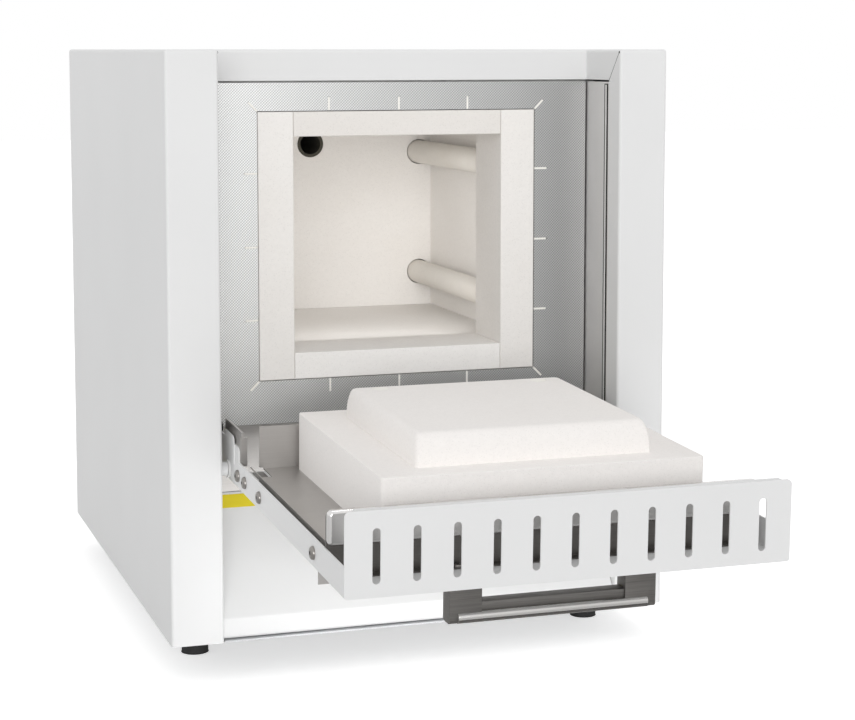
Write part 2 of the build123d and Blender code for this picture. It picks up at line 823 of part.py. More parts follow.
# Rear screws: pan heads that hold the rear panel
rear_screw_places = [
    (side * (rear_half - rear_screw_inset), level)
    for side in (-1, 1)
    for level in (rear_low + rear_screw_inset, (rear_low + rear_high) / 2, rear_high - rear_screw_inset)
]
with BuildPart() as rear_screws:
    with BuildSketch(Plane.XZ.offset(-rear_y)):
        with Locations(*rear_screw_places):
            Circle(4)
    extrude(amount=-2)
rear_screws.part.label = "rear_screws"
export_step(rear_screws.part, "parts/rear_screws.step")

# Controls: bezel with its display window and four keys
with BuildPart() as controller_bezel:
    with BuildSketch(incline_plane(0)):
        with Locations((panel_centre_x, 0)):
            Rectangle(bezel_width, bezel_height)
    extrude(amount=bezel_sheet)
    chamfer(faces().sort_by(Axis(incline_mid, incline_out))[-1].edges(), length=1)
    with BuildSketch(incline_plane(bezel_sheet)):
        with Locations((panel_centre_x, display_rise)):
            Rectangle(display_width, display_height)
    extrude(amount=-display_sheet, mode=Mode.SUBTRACT)
    with BuildSketch(incline_plane(bezel_sheet)):
        with Locations((panel_centre_x, display_rise)):
            Rectangle(display_width - 8, display_height - 8)
        with Locations((panel_centre_x, -key_drop)):
            with GridLocations(key_pitch, 1, 4, 1):
                Rectangle(key_width + 2 * key_fit, key_height + 2 * key_fit)
    extrude(amount=-2 * bezel_sheet, mode=Mode.SUBTRACT)
controller_bezel.part.label = "controller_bezel"
export_step(controller_bezel.part, "parts/controller_bezel.step")

with BuildPart() as display_window:
    with BuildSketch(incline_plane(bezel_sheet - display_sheet)):
        with Locations((panel_centre_x, display_rise)):
            Rectangle(display_width - 0.2, display_height - 0.2)
    extrude(amount=display_sheet)
display_window.part.label = "display_window"
export_step(display_window.part, "parts/display_window.step")

for order, name in enumerate(("menu", "down", "up", "start")):
    with BuildPart() as key:
        with BuildSketch(incline_plane(-key_skirt)):
            with Locations((panel_centre_x + (order - 1.5) * key_pitch, -key_drop)):
                Rectangle(key_width, key_height)
        extrude(amount=key_skirt + bezel_sheet + key_proud)
        with BuildSketch(incline_plane(-key_skirt)):
            with Locations((panel_centre_x + (order - 1.5) * key_pitch, -key_drop)):
                Rectangle(key_width + 3, key_height + 3)
        extrude(amount=key_skirt - key_fit)
        top = key.faces().sort_by(Axis(incline_mid, incline_out))[-1]
        chamfer(top.edges(), length=0.8)
    key.part.label = f"key_{name}"
    export_step(key.part, f"parts/key_{name}.step")

# Controller case: the box behind the bezel, with the board that the keys press on
case_width = bezel_width - 8 - 2 * panel_gap
case_height = bezel_height - 8 - 2 * panel_gap
key_floor = -key_skirt - key_travel - key_fit
with BuildPart() as controller_case:
    with BuildSketch(incline_plane(-panel_gap)):
        with Locations((panel_centre_x, 0)):
            Rectangle(case_width, case_height)
    extrude(amount=-case_depth)
    with BuildSketch(incline_plane(-panel_gap)):
        with Locations((panel_centre_x, 0)):
            Rectangle(case_width - 2 * case_wall, case_height - 2 * case_wall)
    extrude(amount=key_floor, mode=Mode.SUBTRACT)
controller_case.part.label = "controller_case"
export_step(controller_case.part, "parts/controller_case.step")

# Mains switch: a rocker in its frame, lying in its off position
with BuildPart() as rocker_frame:
    with BuildSketch(incline_plane(0)):
        with Locations((rocker_x, 0)):
            Rectangle(rocker_width + 2 * rocker_frame_width, rocker_height + 2 * rocker_frame_width)
    extrude(amount=2)
    with BuildSketch(incline_plane(0)):
        with Locations((rocker_x, 0)):
            Rectangle(rocker_width, rocker_height)
    extrude(amount=-24)
    with BuildSketch(incline_plane(2)):
        with Locations((rocker_x, 0)):
            Rectangle(rocker_width - 3, rocker_height - 3)
    extrude(amount=-18, mode=Mode.SUBTRACT)
rocker_frame.part.label = "rocker_frame"
export_step(rocker_frame.part, "parts/rocker_frame.step")

rocker_half = rocker_height / 2 - 1.5 - rocker_fit - 0.6
with BuildPart() as mains_rocker:
    rocker_base = Plane(
        origin=incline_mid + Vector(rocker_x - (rocker_width - 3) / 2 + rocker_fit, 0, 0),
        x_dir=incline_up * cos(radians(rocker_throw)) + incline_out * sin(radians(rocker_throw)),
        z_dir=(1, 0, 0),
    )
    with BuildSketch(rocker_base):
        with BuildLine():
            Polyline(
                (-rocker_half, 0),
                (0, -9),
                (rocker_half, 0),
                (rocker_half, 4.4),
                (0, 2.6),
                (-rocker_half, 4.4),
                close=True,
            )
        make_face()
    extrude(amount=rocker_width - 3 - 2 * rocker_fit)
mains_rocker.part.label = "mains_rocker"
export_step(mains_rocker.part, "parts/mains_rocker.step")

# Hinge brackets and pins: fixed to the columns, one each side
with BuildPart() as hinge_brackets:
    for side in (-1, 1):
        with BuildSketch(Plane.YZ.offset(side * (recess_half + sheet))):
            with Locations((front_y + 2 * sheet, hinge_z)):
                Rectangle(bracket_depth + 2, bracket_height, align=(Align.MIN, Align.CENTER))
            with Locations((hinge_y, hinge_z)):
                Circle(pin_radius + pin_clearance, mode=Mode.SUBTRACT)
        extrude(amount=side * bracket_sheet)
hinge_brackets.part.label = "hinge_brackets"
export_step(hinge_brackets.part, "parts/hinge_brackets.step")

bush_outer = door_half + bush_flange
bush_inner = door_half - sheet - arm_sheet - 1.0
with BuildPart() as hinge_pins:
    for side in (-1, 1):
        with BuildSketch(Plane.XY.offset(hinge_z)):
            with BuildLine():
                Polyline(
                    (side * (recess_half + sheet + bracket_sheet + pin_head), hinge_y),
                    (side * (recess_half + sheet + bracket_sheet + pin_head), hinge_y + pin_head_radius),
                    (side * (recess_half + sheet + bracket_sheet), hinge_y + pin_head_radius),
                    (side * (recess_half + sheet + bracket_sheet), hinge_y + pin_radius),
                    (side * recess_half, hinge_y + pin_radius),
                    (side * recess_half, hinge_y + pin_collar_radius),
                    (side * (bush_outer + buffer_gap), hinge_y + pin_collar_radius),
                    (side * (bush_outer + buffer_gap), hinge_y + pin_radius),
                    (side * (bush_inner - 2), hinge_y + pin_radius),
                    (side * (bush_inner - 2), hinge_y),
                    close=True,
                )
            make_face()
        revolve(axis=Axis((0, hinge_y, hinge_z), (1, 0, 0)))
hinge_pins.part.label = "hinge_pins"
export_step(hinge_pins.part, "parts/hinge_pins.step")

# Stop buffers: rubber sleeves that the ears of the open door rest against
buffer_y = front_y + buffer_setback
buffer_z = hinge_z + ear_rise + buffer_gap + buffer_radius + (buffer_y - hinge_y) * sin(radians(door_droop))
with BuildPart() as stop_buffers:
    for side in (-1, 1):
        with BuildSketch(Plane.YZ.offset(side * (recess_half + liner_recess))):
            with Locations((buffer_y, buffer_z)):
                Circle(buffer_radius)
        extrude(amount=side * (door_half - sheet + buffer_gap - recess_half - liner_recess))
stop_buffers.part.label = "stop_buffers"
export_step(stop_buffers.part, "parts/stop_buffers.step")

# Door shell: outer panel, side flanges with hinge ears, and the slotted end plate
flange_height = door_flange_rise + door_outer_drop
plate_height = end_plate_rise + door_outer_drop
with BuildPart() as door_shell:
    with BuildSketch(door_plane(-door_outer_drop)):
        with Locations((0, door_tail)):
            Rectangle(2 * door_half, door_tail + door_end, align=(Align.CENTER, Align.MAX))
    extrude(amount=flange_height)
    fillet(door_shell.edges().filter_by(Axis(hinge_point, along)).sort_by(Axis.Z)[:2], radius=2.5)
    with BuildSketch(door_side(door_half)):
        with BuildLine():
            Polyline(
                (-ear_tail, -4),
                (-ear_tail, ear_rise),
                (ear_front, ear_rise),
                (ear_front, 0),
                (ear_front, -4),
                close=True,
            )
        make_face()
        fillet(vertices().sort_by(Axis.Z)[-2:], radius=ear_corner)
    extrude(amount=2 * door_half)
    with BuildSketch(door_plane(door_floor)):
        with Locations((0, ear_tail + 5)):
            Rectangle(
                2 * (door_half - sheet), ear_tail + 5 + door_end - sheet, align=(Align.CENTER, Align.MAX)
            )
    extrude(amount=end_plate_rise, mode=Mode.SUBTRACT)
    with BuildSketch(door_front(door_end)):
        with Locations((0, -door_outer_drop)):
            Rectangle(2 * door_half, plate_height, align=(Align.CENTER, Align.MIN))
        fillet(vertices(), radius=end_plate_corner)
    extrude(amount=-sheet)
    with BuildSketch(door_plane(end_plate_rise)):
        with Locations((0, -door_end)):
            Rectangle(
                2 * (door_half - 2 * end_plate_corner), end_plate_hem, align=(Align.CENTER, Align.MIN)
            )
    extrude(amount=-sheet)
    with BuildSketch(door_front(door_end)):
        with Locations((0, slot_low + slot_length / 2)):
            with GridLocations(slot_pitch, 1, slot_count, 1):
                SlotOverall(slot_length, slot_width, rotation=90)
    extrude(amount=-sheet, mode=Mode.SUBTRACT)
    with BuildSketch(door_side(door_half)):
        with Locations((0, 0)):
            Circle(bush_radius + pin_clearance)
        with Locations(*[(v, screw_height) for v in screw_positions]):
            Circle(screw_shank_radius)
    extrude(amount=2 * door_half, mode=Mode.SUBTRACT)
    tab_travel = slide_tab_width + slide_travel + 4
    with BuildSketch(door_plane(-door_outer_drop)):
        with Locations((slide_start + tab_travel / 2, -slide_centre)):
            SlotOverall(tab_travel + 6, 8)
        with Locations((slide_start + tab_travel + 40, -slide_centre)):
            with GridLocations(air_hole_pitch, 1, 2, 1):
                Circle(air_hole_radius)
    extrude(amount=2 * sheet, mode=Mode.SUBTRACT)
door_shell.part.label = "door_shell"
export_step(door_shell.part, "parts/door_shell.step")

# Door tray: stainless pan that carries the insulating block
with BuildPart() as door_tray:
    with BuildSketch(door_plane(tray_floor)):
        with Locations((0, -(tray_rear_wall + tray_end) / 2)):
            Rectangle(2 * tray_half, tray_end - tray_rear_wall)
    extrude(amount=-plate_sheet)
    for side in (-1, 1):
        with BuildSketch(door_side(side * tray_half)):
            with Locations(((tray_rear_wall + tray_end) / 2, tray_floor + tray_rim)):
                Rectangle(
                    tray_end - tray_rear_wall,
                    tray_rim + tray_skirt,
                    align=(Align.CENTER, Align.MAX),
                )
        extrude(amount=side * plate_sheet)
    with BuildSketch(door_front(tray_rear_wall)):
        with Locations((0, tray_floor - plate_sheet)):
            Rectangle(
                2 * (tray_half - tray_corner),
                tray_rear_height - tray_floor + plate_sheet,
                align=(Align.CENTER, Align.MIN),
            )
    extrude(amount=plate_sheet)
    with BuildSketch(door_plane(tray_floor + 1)):
        with Locations((tray_half, -tray_rear_wall), (-tray_half, -tray_rear_wall)):
            Rectangle(2 * (tray_corner + 4), 2 * (arm_lug_end + 18 - tray_rear_wall))
    extrude(amount=-tray_skirt, mode=Mode.SUBTRACT)
    with BuildSketch(door_plane(tray_floor + 1)):
        with Locations(*cap_places):
            Circle(cap_bolt_radius + heater_fit)
    extrude(amount=-3 * plate_sheet, mode=Mode.SUBTRACT)
    with BuildSketch(door_side(tray_half)):
        with Locations(*[(v, screw_height) for v in screw_positions[2:]]):
            Circle(screw_shank_radius)
    extrude(amount=2 * tray_half, mode=Mode.SUBTRACT)
door_tray.part.label = "door_tray"
export_step(door_tray.part, "parts/door_tray.step")

# Door end wall: painted angle across the free end of the tray, standing on the shell
with BuildPart() as door_end_wall:
    with BuildSketch(door_front(tray_end)):
        with Locations((0, door_floor)):
            Rectangle(2 * tray_half, tray_wall_height - door_floor, align=(Align.CENTER, Align.MIN))
        fillet(vertices().sort_by(Axis.Z)[-2:], radius=tray_corner)
    extrude(amount=plate_sheet)
    for level in (door_floor + plate_sheet, tray_wall_height):
        with BuildSketch(door_plane(level)):
            with Locations((0, -tray_end)):
                Rectangle(2 * (tray_half - tray_corner), tray_hem, align=(Align.CENTER, Align.MAX))
        extrude(amount=-plate_sheet)
door_end_wall.part.label = "door_end_wall"
export_step(door_end_wall.part, "parts/door_end_wall.step")

# Door block: insulating slab with the stepped plug that enters the mouth
with BuildPart() as door_block:
    with BuildSketch(door_plane(tray_floor)):
        with Locations((0, -(block_rear + block_end) / 2)):
            Rectangle(block_width, block_height)
    extrude(amount=block_face - tray_floor)
    corners = door_block.edges().filter_by(Axis(hinge_point, square))
    fillet(corners, radius=block_edge)
    chamfer(door_block.faces().sort_by(Axis.Z)[-1].edges(), length=block_edge / 2)
    for share in (0.0, 0.6, 0.9, 1.0):
        bulge = 1 - sqrt(1 - share**2)
        rear = plug_rear + plug_hinge_slant * bulge
        end = plug_end - plug_free_slant * bulge
        with BuildSketch(door_plane(block_face + plug_length * share)):
            with Locations((0, -(rear + end) / 2)):
                RectangleRounded(plug_width - 2 * plug_side_slant * bulge, end - rear, block_edge)
    loft(ruled=True)
    with BuildSketch(door_plane(tray_floor)):
        with Locations(*cap_places):
            Circle(cap_bolt_radius + heater_fit)
    extrude(amount=block_face + plug_length, mode=Mode.SUBTRACT)
    with BuildSketch(door_plane(block_face + plug_length)):
        with Locations(*cap_places):
            Circle(cap_radius + heater_fit)
    extrude(amount=-cap_depth, mode=Mode.SUBTRACT)
door_block.part.label = "door_block"
export_step(door_block.part, "parts/door_block.step")

# Block caps: ceramic buttons whose stems hold the block on the tray
with BuildPart() as block_caps:
    with BuildSketch(door_plane(block_face + plug_length)):
        with Locations(*cap_places):
            Circle(cap_radius)
    extrude(amount=-cap_depth)
    with BuildSketch(door_plane(tray_floor - plate_sheet)):
        with Locations(*cap_places):
            Circle(cap_bolt_radius)
    extrude(amount=block_face + plug_length - tray_floor)
    with BuildSketch(door_plane(tray_floor - plate_sheet)):
        with Locations(*cap_places):
            Circle(cap_bolt_radius + 3)
    extrude(amount=-3)
block_caps.part.label = "block_caps"
export_step(block_caps.part, "parts/block_caps.step")

# Hinge arms: stainless stiffeners inside the flanges, with a turned front edge
for side, name in ((-1, "left"), (1, "right")):
    with BuildPart() as arm:
        with BuildSketch(door_side(side * (door_half - sheet))):
            with BuildLine():
                Polyline(
                    (-arm_tail, arm_bottom),
                    (-arm_tail, arm_top),
                    (arm_nose, arm_top),
                    (arm_nose, arm_top - 6),
                    (arm_front, arm_top - 6),
                    (arm_front, arm_lug_top),
                    (arm_lug_end, arm_lug_top),
                    (arm_lug_end, arm_bottom),
                    close=True,
                )
            make_face()
            with Locations((0, 0)):
                Circle(bush_radius + pin_clearance, mode=Mode.SUBTRACT)
            with Locations(*[(v, screw_height) for v in screw_positions[:2]]):
                Circle(screw_shank_radius, mode=Mode.SUBTRACT)
        extrude(amount=side * arm_sheet)
        with BuildSketch(door_front(arm_front)):
            with Locations((side * (door_half - sheet), arm_lug_top)):
                Rectangle(
                    arm_sheet + arm_flange,
                    arm_top - 6 - arm_lug_top,
                    align=(Align.MAX if side > 0 else Align.MIN, Align.MIN),
                )
        extrude(amount=-arm_sheet)
    arm.part.label = f"hinge_arm_{name}"
    export_step(arm.part, f"parts/hinge_arm_{name}.step")

# Hinge bushes: flanged sleeves in the ears that turn on the pins
with BuildPart() as hinge_bushes:
    for side in (-1, 1):
        with BuildSketch(door_side(side * bush_outer)):
            Circle(bush_flange_radius)
            Circle(pin_radius + pin_clearance, mode=Mode.SUBTRACT)
        extrude(amount=side * bush_flange)
        with BuildSketch(door_side(side * bush_outer)):
            Circle(bush_radius)
            Circle(pin_radius + pin_clearance, mode=Mode.SUBTRACT)
        extrude(amount=side * (bush_outer - bush_inner))
hinge_bushes.part.label = "hinge_bushes"
export_step(hinge_bushes.part, "parts/hinge_bushes.step")

# Door screws: domed heads outside the flanges, with shanks into the arms and the tray
with BuildPart() as door_screws:
    for side in (-1, 1):
        for order, v in enumerate(screw_positions):
            reach = sheet + arm_sheet if order < 2 else sheet + tray_side_gap + plate_sheet
            with BuildSketch(door_side(side * door_half)):
                with Locations((v, screw_height)):
                    Circle(screw_shank_radius)
            extrude(amount=side * reach)
            with BuildSketch(door_side(side * door_half)):
                with Locations((v, screw_height)):
                    Circle(screw_head_radius)
            extrude(amount=-side * screw_head_height)
            if order >= 2:
                with BuildSketch(door_side(side * (door_half - sheet))):
                    with Locations((v, screw_height)):
                        Circle(screw_shank_radius + 2)
                extrude(amount=side * tray_side_gap)
    outer_rims = [
        e for e in door_screws.edges().filter_by(GeomType.CIRCLE)
        if abs(abs(e.center().X) - door_half - screw_head_height) < 0.01
    ]
    chamfer(outer_rims, length=2.2)
door_screws.part.label = "door_screws"
export_step(door_screws.part, "parts/door_screws.step")

# Handle: two square blocks, a flat grip bar and a polished rod let into the blocks
block_inner = handle_length / 2 - handle_block_width
rod_v = handle_free_edge - grip_rod_radius + grip_rod_proud
rod_w = -door_outer_drop - grip_rod_drop
with BuildPart() as handle_mounts:
    with BuildSketch(door_plane(-door_outer_drop)):
        with Locations(
            (-(handle_length - handle_block_width) / 2, -handle_free_edge),
            ((handle_length - handle_block_width) / 2, -handle_free_edge),
        ):
            Rectangle(handle_block_width, handle_block_depth, align=(Align.CENTER, Align.MIN))
    extrude(amount=-handle_reach)
    fillet(handle_mounts.edges().filter_by(Axis.X).group_by(Axis.Z)[0], radius=handle_block_round)
    with BuildSketch(door_side(grip_rod_length / 2)):
        with Locations((rod_v, rod_w)):
            Circle(grip_rod_radius + grip_fit)
    extrude(amount=grip_rod_length, mode=Mode.SUBTRACT)
handle_mounts.part.label = "handle_mounts"
export_step(handle_mounts.part, "parts/handle_mounts.step")

with BuildPart() as handle_bar:
    with BuildSketch(door_front(handle_free_edge - 2)):
        with Locations((0, -door_outer_drop - grip_bar_top)):
            Rectangle(2 * block_inner, grip_bar_height, align=(Align.CENTER, Align.MAX))
    extrude(amount=-(handle_block_depth - 4))
    fillet(handle_bar.edges().filter_by(Axis.X), radius=1.5)
    with BuildSketch(door_side(block_inner)):
        with Locations((rod_v, rod_w)):
            Circle(grip_rod_radius + grip_fit)
    extrude(amount=2 * block_inner, mode=Mode.SUBTRACT)
handle_bar.part.label = "handle_bar"
export_step(handle_bar.part, "parts/handle_bar.step")

with BuildPart() as handle_rod:
    with BuildSketch(door_side(grip_rod_length / 2 - grip_fit)):
        with Locations((rod_v, rod_w)):
            Circle(grip_rod_radius)
    extrude(amount=grip_rod_length - 2 * grip_fit)
    chamfer(handle_rod.edges().filter_by(GeomType.CIRCLE), length=0.6)
handle_rod.part.label = "handle_rod"
export_step(handle_rod.part, "parts/handle_rod.step")

# Fresh-air slide: a strip with a turned tab, running between two rails inside the door
slide_low = door_floor + slide_fit
with BuildPart() as air_slide:
    with BuildSketch(door_plane(slide_low)):
        with Locations((slide_start, -slide_centre)):
            Rectangle(slide_length, slide_height, align=(Align.MIN, Align.CENTER))
        with Locations((slide_start + tab_travel + 40 - slide_travel, -slide_centre)):
            with GridLocations(air_hole_pitch, 1, 2, 1):
                Circle(air_hole_radius, mode=Mode.SUBTRACT)
    extrude(amount=slide_sheet)
    with BuildSketch(door_plane(slide_low + slide_sheet)):
        with Locations((slide_start + 2, -slide_centre)):
            Rectangle(slide_tab_width, slide_sheet, align=(Align.MIN, Align.CENTER))
    extrude(amount=-slide_tab_reach - slide_sheet - slide_fit - sheet)
air_slide.part.label = "air_slide"
export_step(air_slide.part, "parts/air_slide.step")

rail_length = slide_length + slide_travel - 10
with BuildPart() as slide_guides:
    for edge in (-1, 1):
        lip = -slide_centre + edge * (slide_height / 2 + slide_fit)
        with BuildSketch(door_plane(door_floor)):
            with Locations((slide_start + rail_length / 2, lip)):
                Rectangle(
                    rail_length, rail_width / 2, align=(Align.CENTER, Align.MIN if edge > 0 else Align.MAX)
                )
        extrude(amount=slide_sheet + 2 * slide_fit)
        with BuildSketch(door_plane(slide_low + slide_sheet + slide_fit)):
            with Locations((slide_start + rail_length / 2, lip + edge * rail_width / 2)):
                Rectangle(
                    rail_length, rail_width, align=(Align.CENTER, Align.MAX if edge > 0 else Align.MIN)
                )
        extrude(amount=rail_sheet)
slide_guides.part.label = "slide_guides"
export_step(slide_guides.part, "parts/slide_guides.step")
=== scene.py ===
# %% [markdown]
# # A bench muffle furnace with its door open
#
# The imported model gives the solids of the furnace in metres, standing on the bench at z = 0 with
# the user on the -Y side. This notebook gives them their finishes, replaces a few pieces by softer
# or finer ones, and sets a studio round them.

# %% Load the imported furnace
import bpy
import bmesh
import json
from math import atan2, cos, pi, radians, sin, sqrt
from mathutils import Matrix, Vector

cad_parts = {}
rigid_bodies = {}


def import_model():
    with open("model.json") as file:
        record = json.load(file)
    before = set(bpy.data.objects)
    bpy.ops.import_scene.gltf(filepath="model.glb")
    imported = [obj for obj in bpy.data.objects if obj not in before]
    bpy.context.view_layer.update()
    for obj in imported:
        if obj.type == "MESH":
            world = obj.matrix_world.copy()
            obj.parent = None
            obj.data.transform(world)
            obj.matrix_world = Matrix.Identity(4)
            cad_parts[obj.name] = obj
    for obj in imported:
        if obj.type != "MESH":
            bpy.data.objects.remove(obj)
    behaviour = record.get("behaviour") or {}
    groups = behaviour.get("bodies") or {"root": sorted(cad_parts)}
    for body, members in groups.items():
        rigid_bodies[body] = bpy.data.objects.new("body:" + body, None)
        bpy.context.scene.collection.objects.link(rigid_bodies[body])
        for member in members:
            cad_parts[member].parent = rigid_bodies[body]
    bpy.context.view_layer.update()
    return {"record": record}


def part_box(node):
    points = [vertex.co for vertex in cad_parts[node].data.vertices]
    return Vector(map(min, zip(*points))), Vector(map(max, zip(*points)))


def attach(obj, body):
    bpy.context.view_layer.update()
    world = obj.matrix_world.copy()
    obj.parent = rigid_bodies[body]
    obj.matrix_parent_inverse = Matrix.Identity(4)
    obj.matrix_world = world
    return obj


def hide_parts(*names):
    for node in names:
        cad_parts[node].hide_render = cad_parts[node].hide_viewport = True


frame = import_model()

# %% [markdown]
# ## The places that several pieces share
#
# The door hangs from a hinge line near the front of the housing and droops a little below level.
# Along the door (v) and square to it (w) are the two directions that a maker would measure in, so a
# small helper turns a door measurement into a place in the room. The control panel has its own
# slope, with its own two directions.

# %% Door and panel directions
DOOR_DROOP = radians(1.9)
HINGE = Vector((0.0, -0.1052454, 0.2107))
ALONG = Vector((0.0, -cos(DOOR_DROOP), -sin(DOOR_DROOP)))
SQUARE = Vector((0.0, -sin(DOOR_DROOP), cos(DOOR_DROOP)))


def door_frame():
    """Matrix whose x is across the door, y along it and z square to it, in millimetres."""
    across = Vector((-1.0, 0.0, 0.0))
    turn = Matrix((across, ALONG, SQUARE)).transposed().to_4x4()
    return Matrix.Translation(HINGE) @ turn @ Matrix.Scale(0.001, 4)


print("door frame:", [round(c, 4) for c in door_frame() @ Vector((0, 418, 0))])

# %% [markdown]
# ## Helpers for modelling by hand
#
# Blender's operators act on whatever is selected, and the loader leaves its nodes selected. So each
# new primitive starts from an empty selection. Faces and edges are then chosen by where they are,
# which is what a person does with the mouse.

# %% Selection helpers
def start_fresh():
    if bpy.context.mode != "OBJECT":
        bpy.ops.object.mode_set(mode="OBJECT")
    bpy.ops.object.select_all(action="DESELECT")


def select_parts(piece, kind, wanted):
    """Select the vertices, edges or faces for which wanted(item) is true, in edit mode."""
    mesh = bmesh.from_edit_mesh(piece.data)
    for item in list(mesh.verts) + list(mesh.edges) + list(mesh.faces):
        item.select = False
    items = {"VERT": mesh.verts, "EDGE": mesh.edges, "FACE": mesh.faces}[kind]
    bpy.ops.mesh.select_mode(type=kind)
    count = 0
    for item in items:
        if wanted(item):
            item.select_set(True)
            count += 1
    mesh.select_flush_mode()
    bmesh.update_edit_mesh(piece.data)
    return count


def finish_piece(piece, name, body, place, slot, angle=35, finish=None):
    """Name a piece, put its place into its mesh, smooth it, finish it and let it ride on its body."""
    start_fresh()
    piece.data.transform(place @ piece.matrix_world)
    piece.matrix_world = Matrix.Identity(4)
    piece.name = name
    piece.data.name = name
    piece.select_set(True)
    bpy.context.view_layer.objects.active = piece
    bpy.ops.object.mode_set(mode="EDIT")
    bpy.ops.mesh.select_all(action="SELECT")
    bpy.ops.mesh.remove_doubles(threshold=0.000005)
    bpy.ops.mesh.normals_make_consistent(inside=False)
    bpy.ops.object.mode_set(mode="OBJECT")
    bpy.ops.object.shade_smooth_by_angle(angle=radians(angle))
    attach(piece, body)
    piece.data.materials.clear()
    piece.data.materials.append(finishes[finish or slot])
    print(name, "faces:", len(piece.data.polygons))
    return piece


# %% [markdown]
# ## Finishes
#
# Every finish starts from Object coordinates, so its pattern keeps its real size in metres on every
# piece. Effects that several finishes share are node groups: the fine orange-peel of powder coat,
# the drawn lines of sheet steel, the diamond emboss of the lining, and the pores of fired clay.
# Each group gives a colour, a roughness and a height, and the finish itself holds the shader.

# %% Node helpers
def new_group(name, inputs, outputs):
    group = bpy.data.node_groups.new(name, "ShaderNodeTree")
    for label, kind, value in inputs:
        socket = group.interface.new_socket(label, in_out="INPUT", socket_type="NodeSocket" + kind)
        if value is not None:
            socket.default_value = value
    for label, kind in outputs:
        group.interface.new_socket(label, in_out="OUTPUT", socket_type="NodeSocket" + kind)
    start = group.nodes.new("NodeGroupInput")
    end = group.nodes.new("NodeGroupOutput")
    return group, start, end


def noise(tree, place, scale, detail=2.0, roughness=0.5):
    node = tree.nodes.new("ShaderNodeTexNoise")
    node.inputs["Scale"].default_value = scale
    node.inputs["Detail"].default_value = detail
    node.inputs["Roughness"].default_value = roughness
    tree.links.new(place, node.inputs["Vector"])
    return node.outputs["Fac"]


def stretch(tree, place, factors):
    node = tree.nodes.new("ShaderNodeMapping")
    node.inputs["Scale"].default_value = factors
    tree.links.new(place, node.inputs["Vector"])
    return node.outputs["Vector"]


def sums(tree, operation, first, second, third=None):
    node = tree.nodes.new("ShaderNodeMath")
    node.operation = operation
    for socket, value in zip(node.inputs, (first, second, third)):
        if value is None:
            continue
        if isinstance(value, (int, float)):
            socket.default_value = value
        else:
            tree.links.new(value, socket)
    return node.outputs["Value"]


def spread(tree, value, low, high, out_low=0.0, out_high=1.0):
    node = tree.nodes.new("ShaderNodeMapRange")
    for label, number in (("From Min", low), ("From Max", high), ("To Min", out_low), ("To Max", out_high)):
        node.inputs[label].default_value = number
    tree.links.new(value, node.inputs["Value"])
    return node.outputs["Result"]


def shade(tree, colour, factor):
    """The colour times a factor that changes over the surface."""
    node = tree.nodes.new("ShaderNodeMix")
    node.data_type = "RGBA"
    node.blend_type = "MULTIPLY"
    node.inputs["Factor"].default_value = 1.0
    tree.links.new(colour, node.inputs["A"])
    tree.links.new(factor, node.inputs["B"])
    return node.outputs["Result"]


def blend(tree, mask, first, second):
    node = tree.nodes.new("ShaderNodeMix")
    node.data_type = "RGBA"
    tree.links.new(mask, node.inputs["Factor"])
    for label, value in (("A", first), ("B", second)):
        if isinstance(value, tuple):
            node.inputs[label].default_value = value
        else:
            tree.links.new(value, node.inputs[label])
    return node.outputs["Result"]


# %% [markdown]
# ### Powder coat
#
# Powder paint flows together in the oven and leaves a very fine, soft orange-peel. The peel is a
# noise about a millimetre across, too small to see from afar but enough to soften each reflection.
# A slower noise moves the colour by about one part in a hundred, as on real sheet.

# %% Powder coat group
powder_group, start, end = new_group(
    "powder_coat",
    [("Place", "Vector", None), ("Paint", "Color", (0.8, 0.8, 0.8, 1.0)), ("Gloss Roughness", "Float", 0.45)],
    [("Colour", "Color"), ("Roughness", "Float"), ("Height", "Float")],
)
place = start.outputs["Place"]
peel = noise(powder_group, place, 900.0, detail=1.0)
cloud = noise(powder_group, place, 7.0, detail=3.0)
tone = spread(powder_group, cloud, 0.3, 0.7, 0.985, 1.01)
powder_group.links.new(shade(powder_group, start.outputs["Paint"], tone), end.inputs["Colour"])
rough = sums(powder_group, "MULTIPLY_ADD", cloud, 0.08, start.outputs["Gloss Roughness"])
powder_group.links.new(rough, end.inputs["Roughness"])
powder_group.links.new(peel, end.inputs["Height"])

# %% [markdown]
# ### Drawn sheet steel
#
# Rolled and brushed steel shows long fine lines. A noise stretched fifty times along one direction
# gives them. A second, slow noise gives the dull patches that hands and heat leave.

# %% Sheet steel group
sheet_group, start, end = new_group(
    "drawn_sheet",
    [
        ("Place", "Vector", None),
        ("Metal", "Color", (0.6, 0.6, 0.6, 1.0)),
        ("Sheen Roughness", "Float", 0.35),
        ("Line Contrast", "Float", 0.1),
    ],
    [("Colour", "Color"), ("Roughness", "Float"), ("Height", "Float")],
)
place = start.outputs["Place"]
lines = noise(sheet_group, stretch(sheet_group, place, (25.0, 900.0, 900.0)), 1.0, detail=2.0)
patches = noise(sheet_group, place, 14.0, detail=3.0)
tone = sums(sheet_group, "MULTIPLY_ADD", sums(sheet_group, "SUBTRACT", lines, 0.5), start.outputs["Line Contrast"], 1.0)
tone = sums(sheet_group, "MULTIPLY", tone, spread(sheet_group, patches, 0.3, 0.7, 0.95, 1.03))
sheet_group.links.new(shade(sheet_group, start.outputs["Metal"], tone), end.inputs["Colour"])
rough = sums(sheet_group, "MULTIPLY_ADD", patches, 0.12, start.outputs["Sheen Roughness"])
sheet_group.links.new(rough, end.inputs["Roughness"])
sheet_group.links.new(lines, end.inputs["Height"])
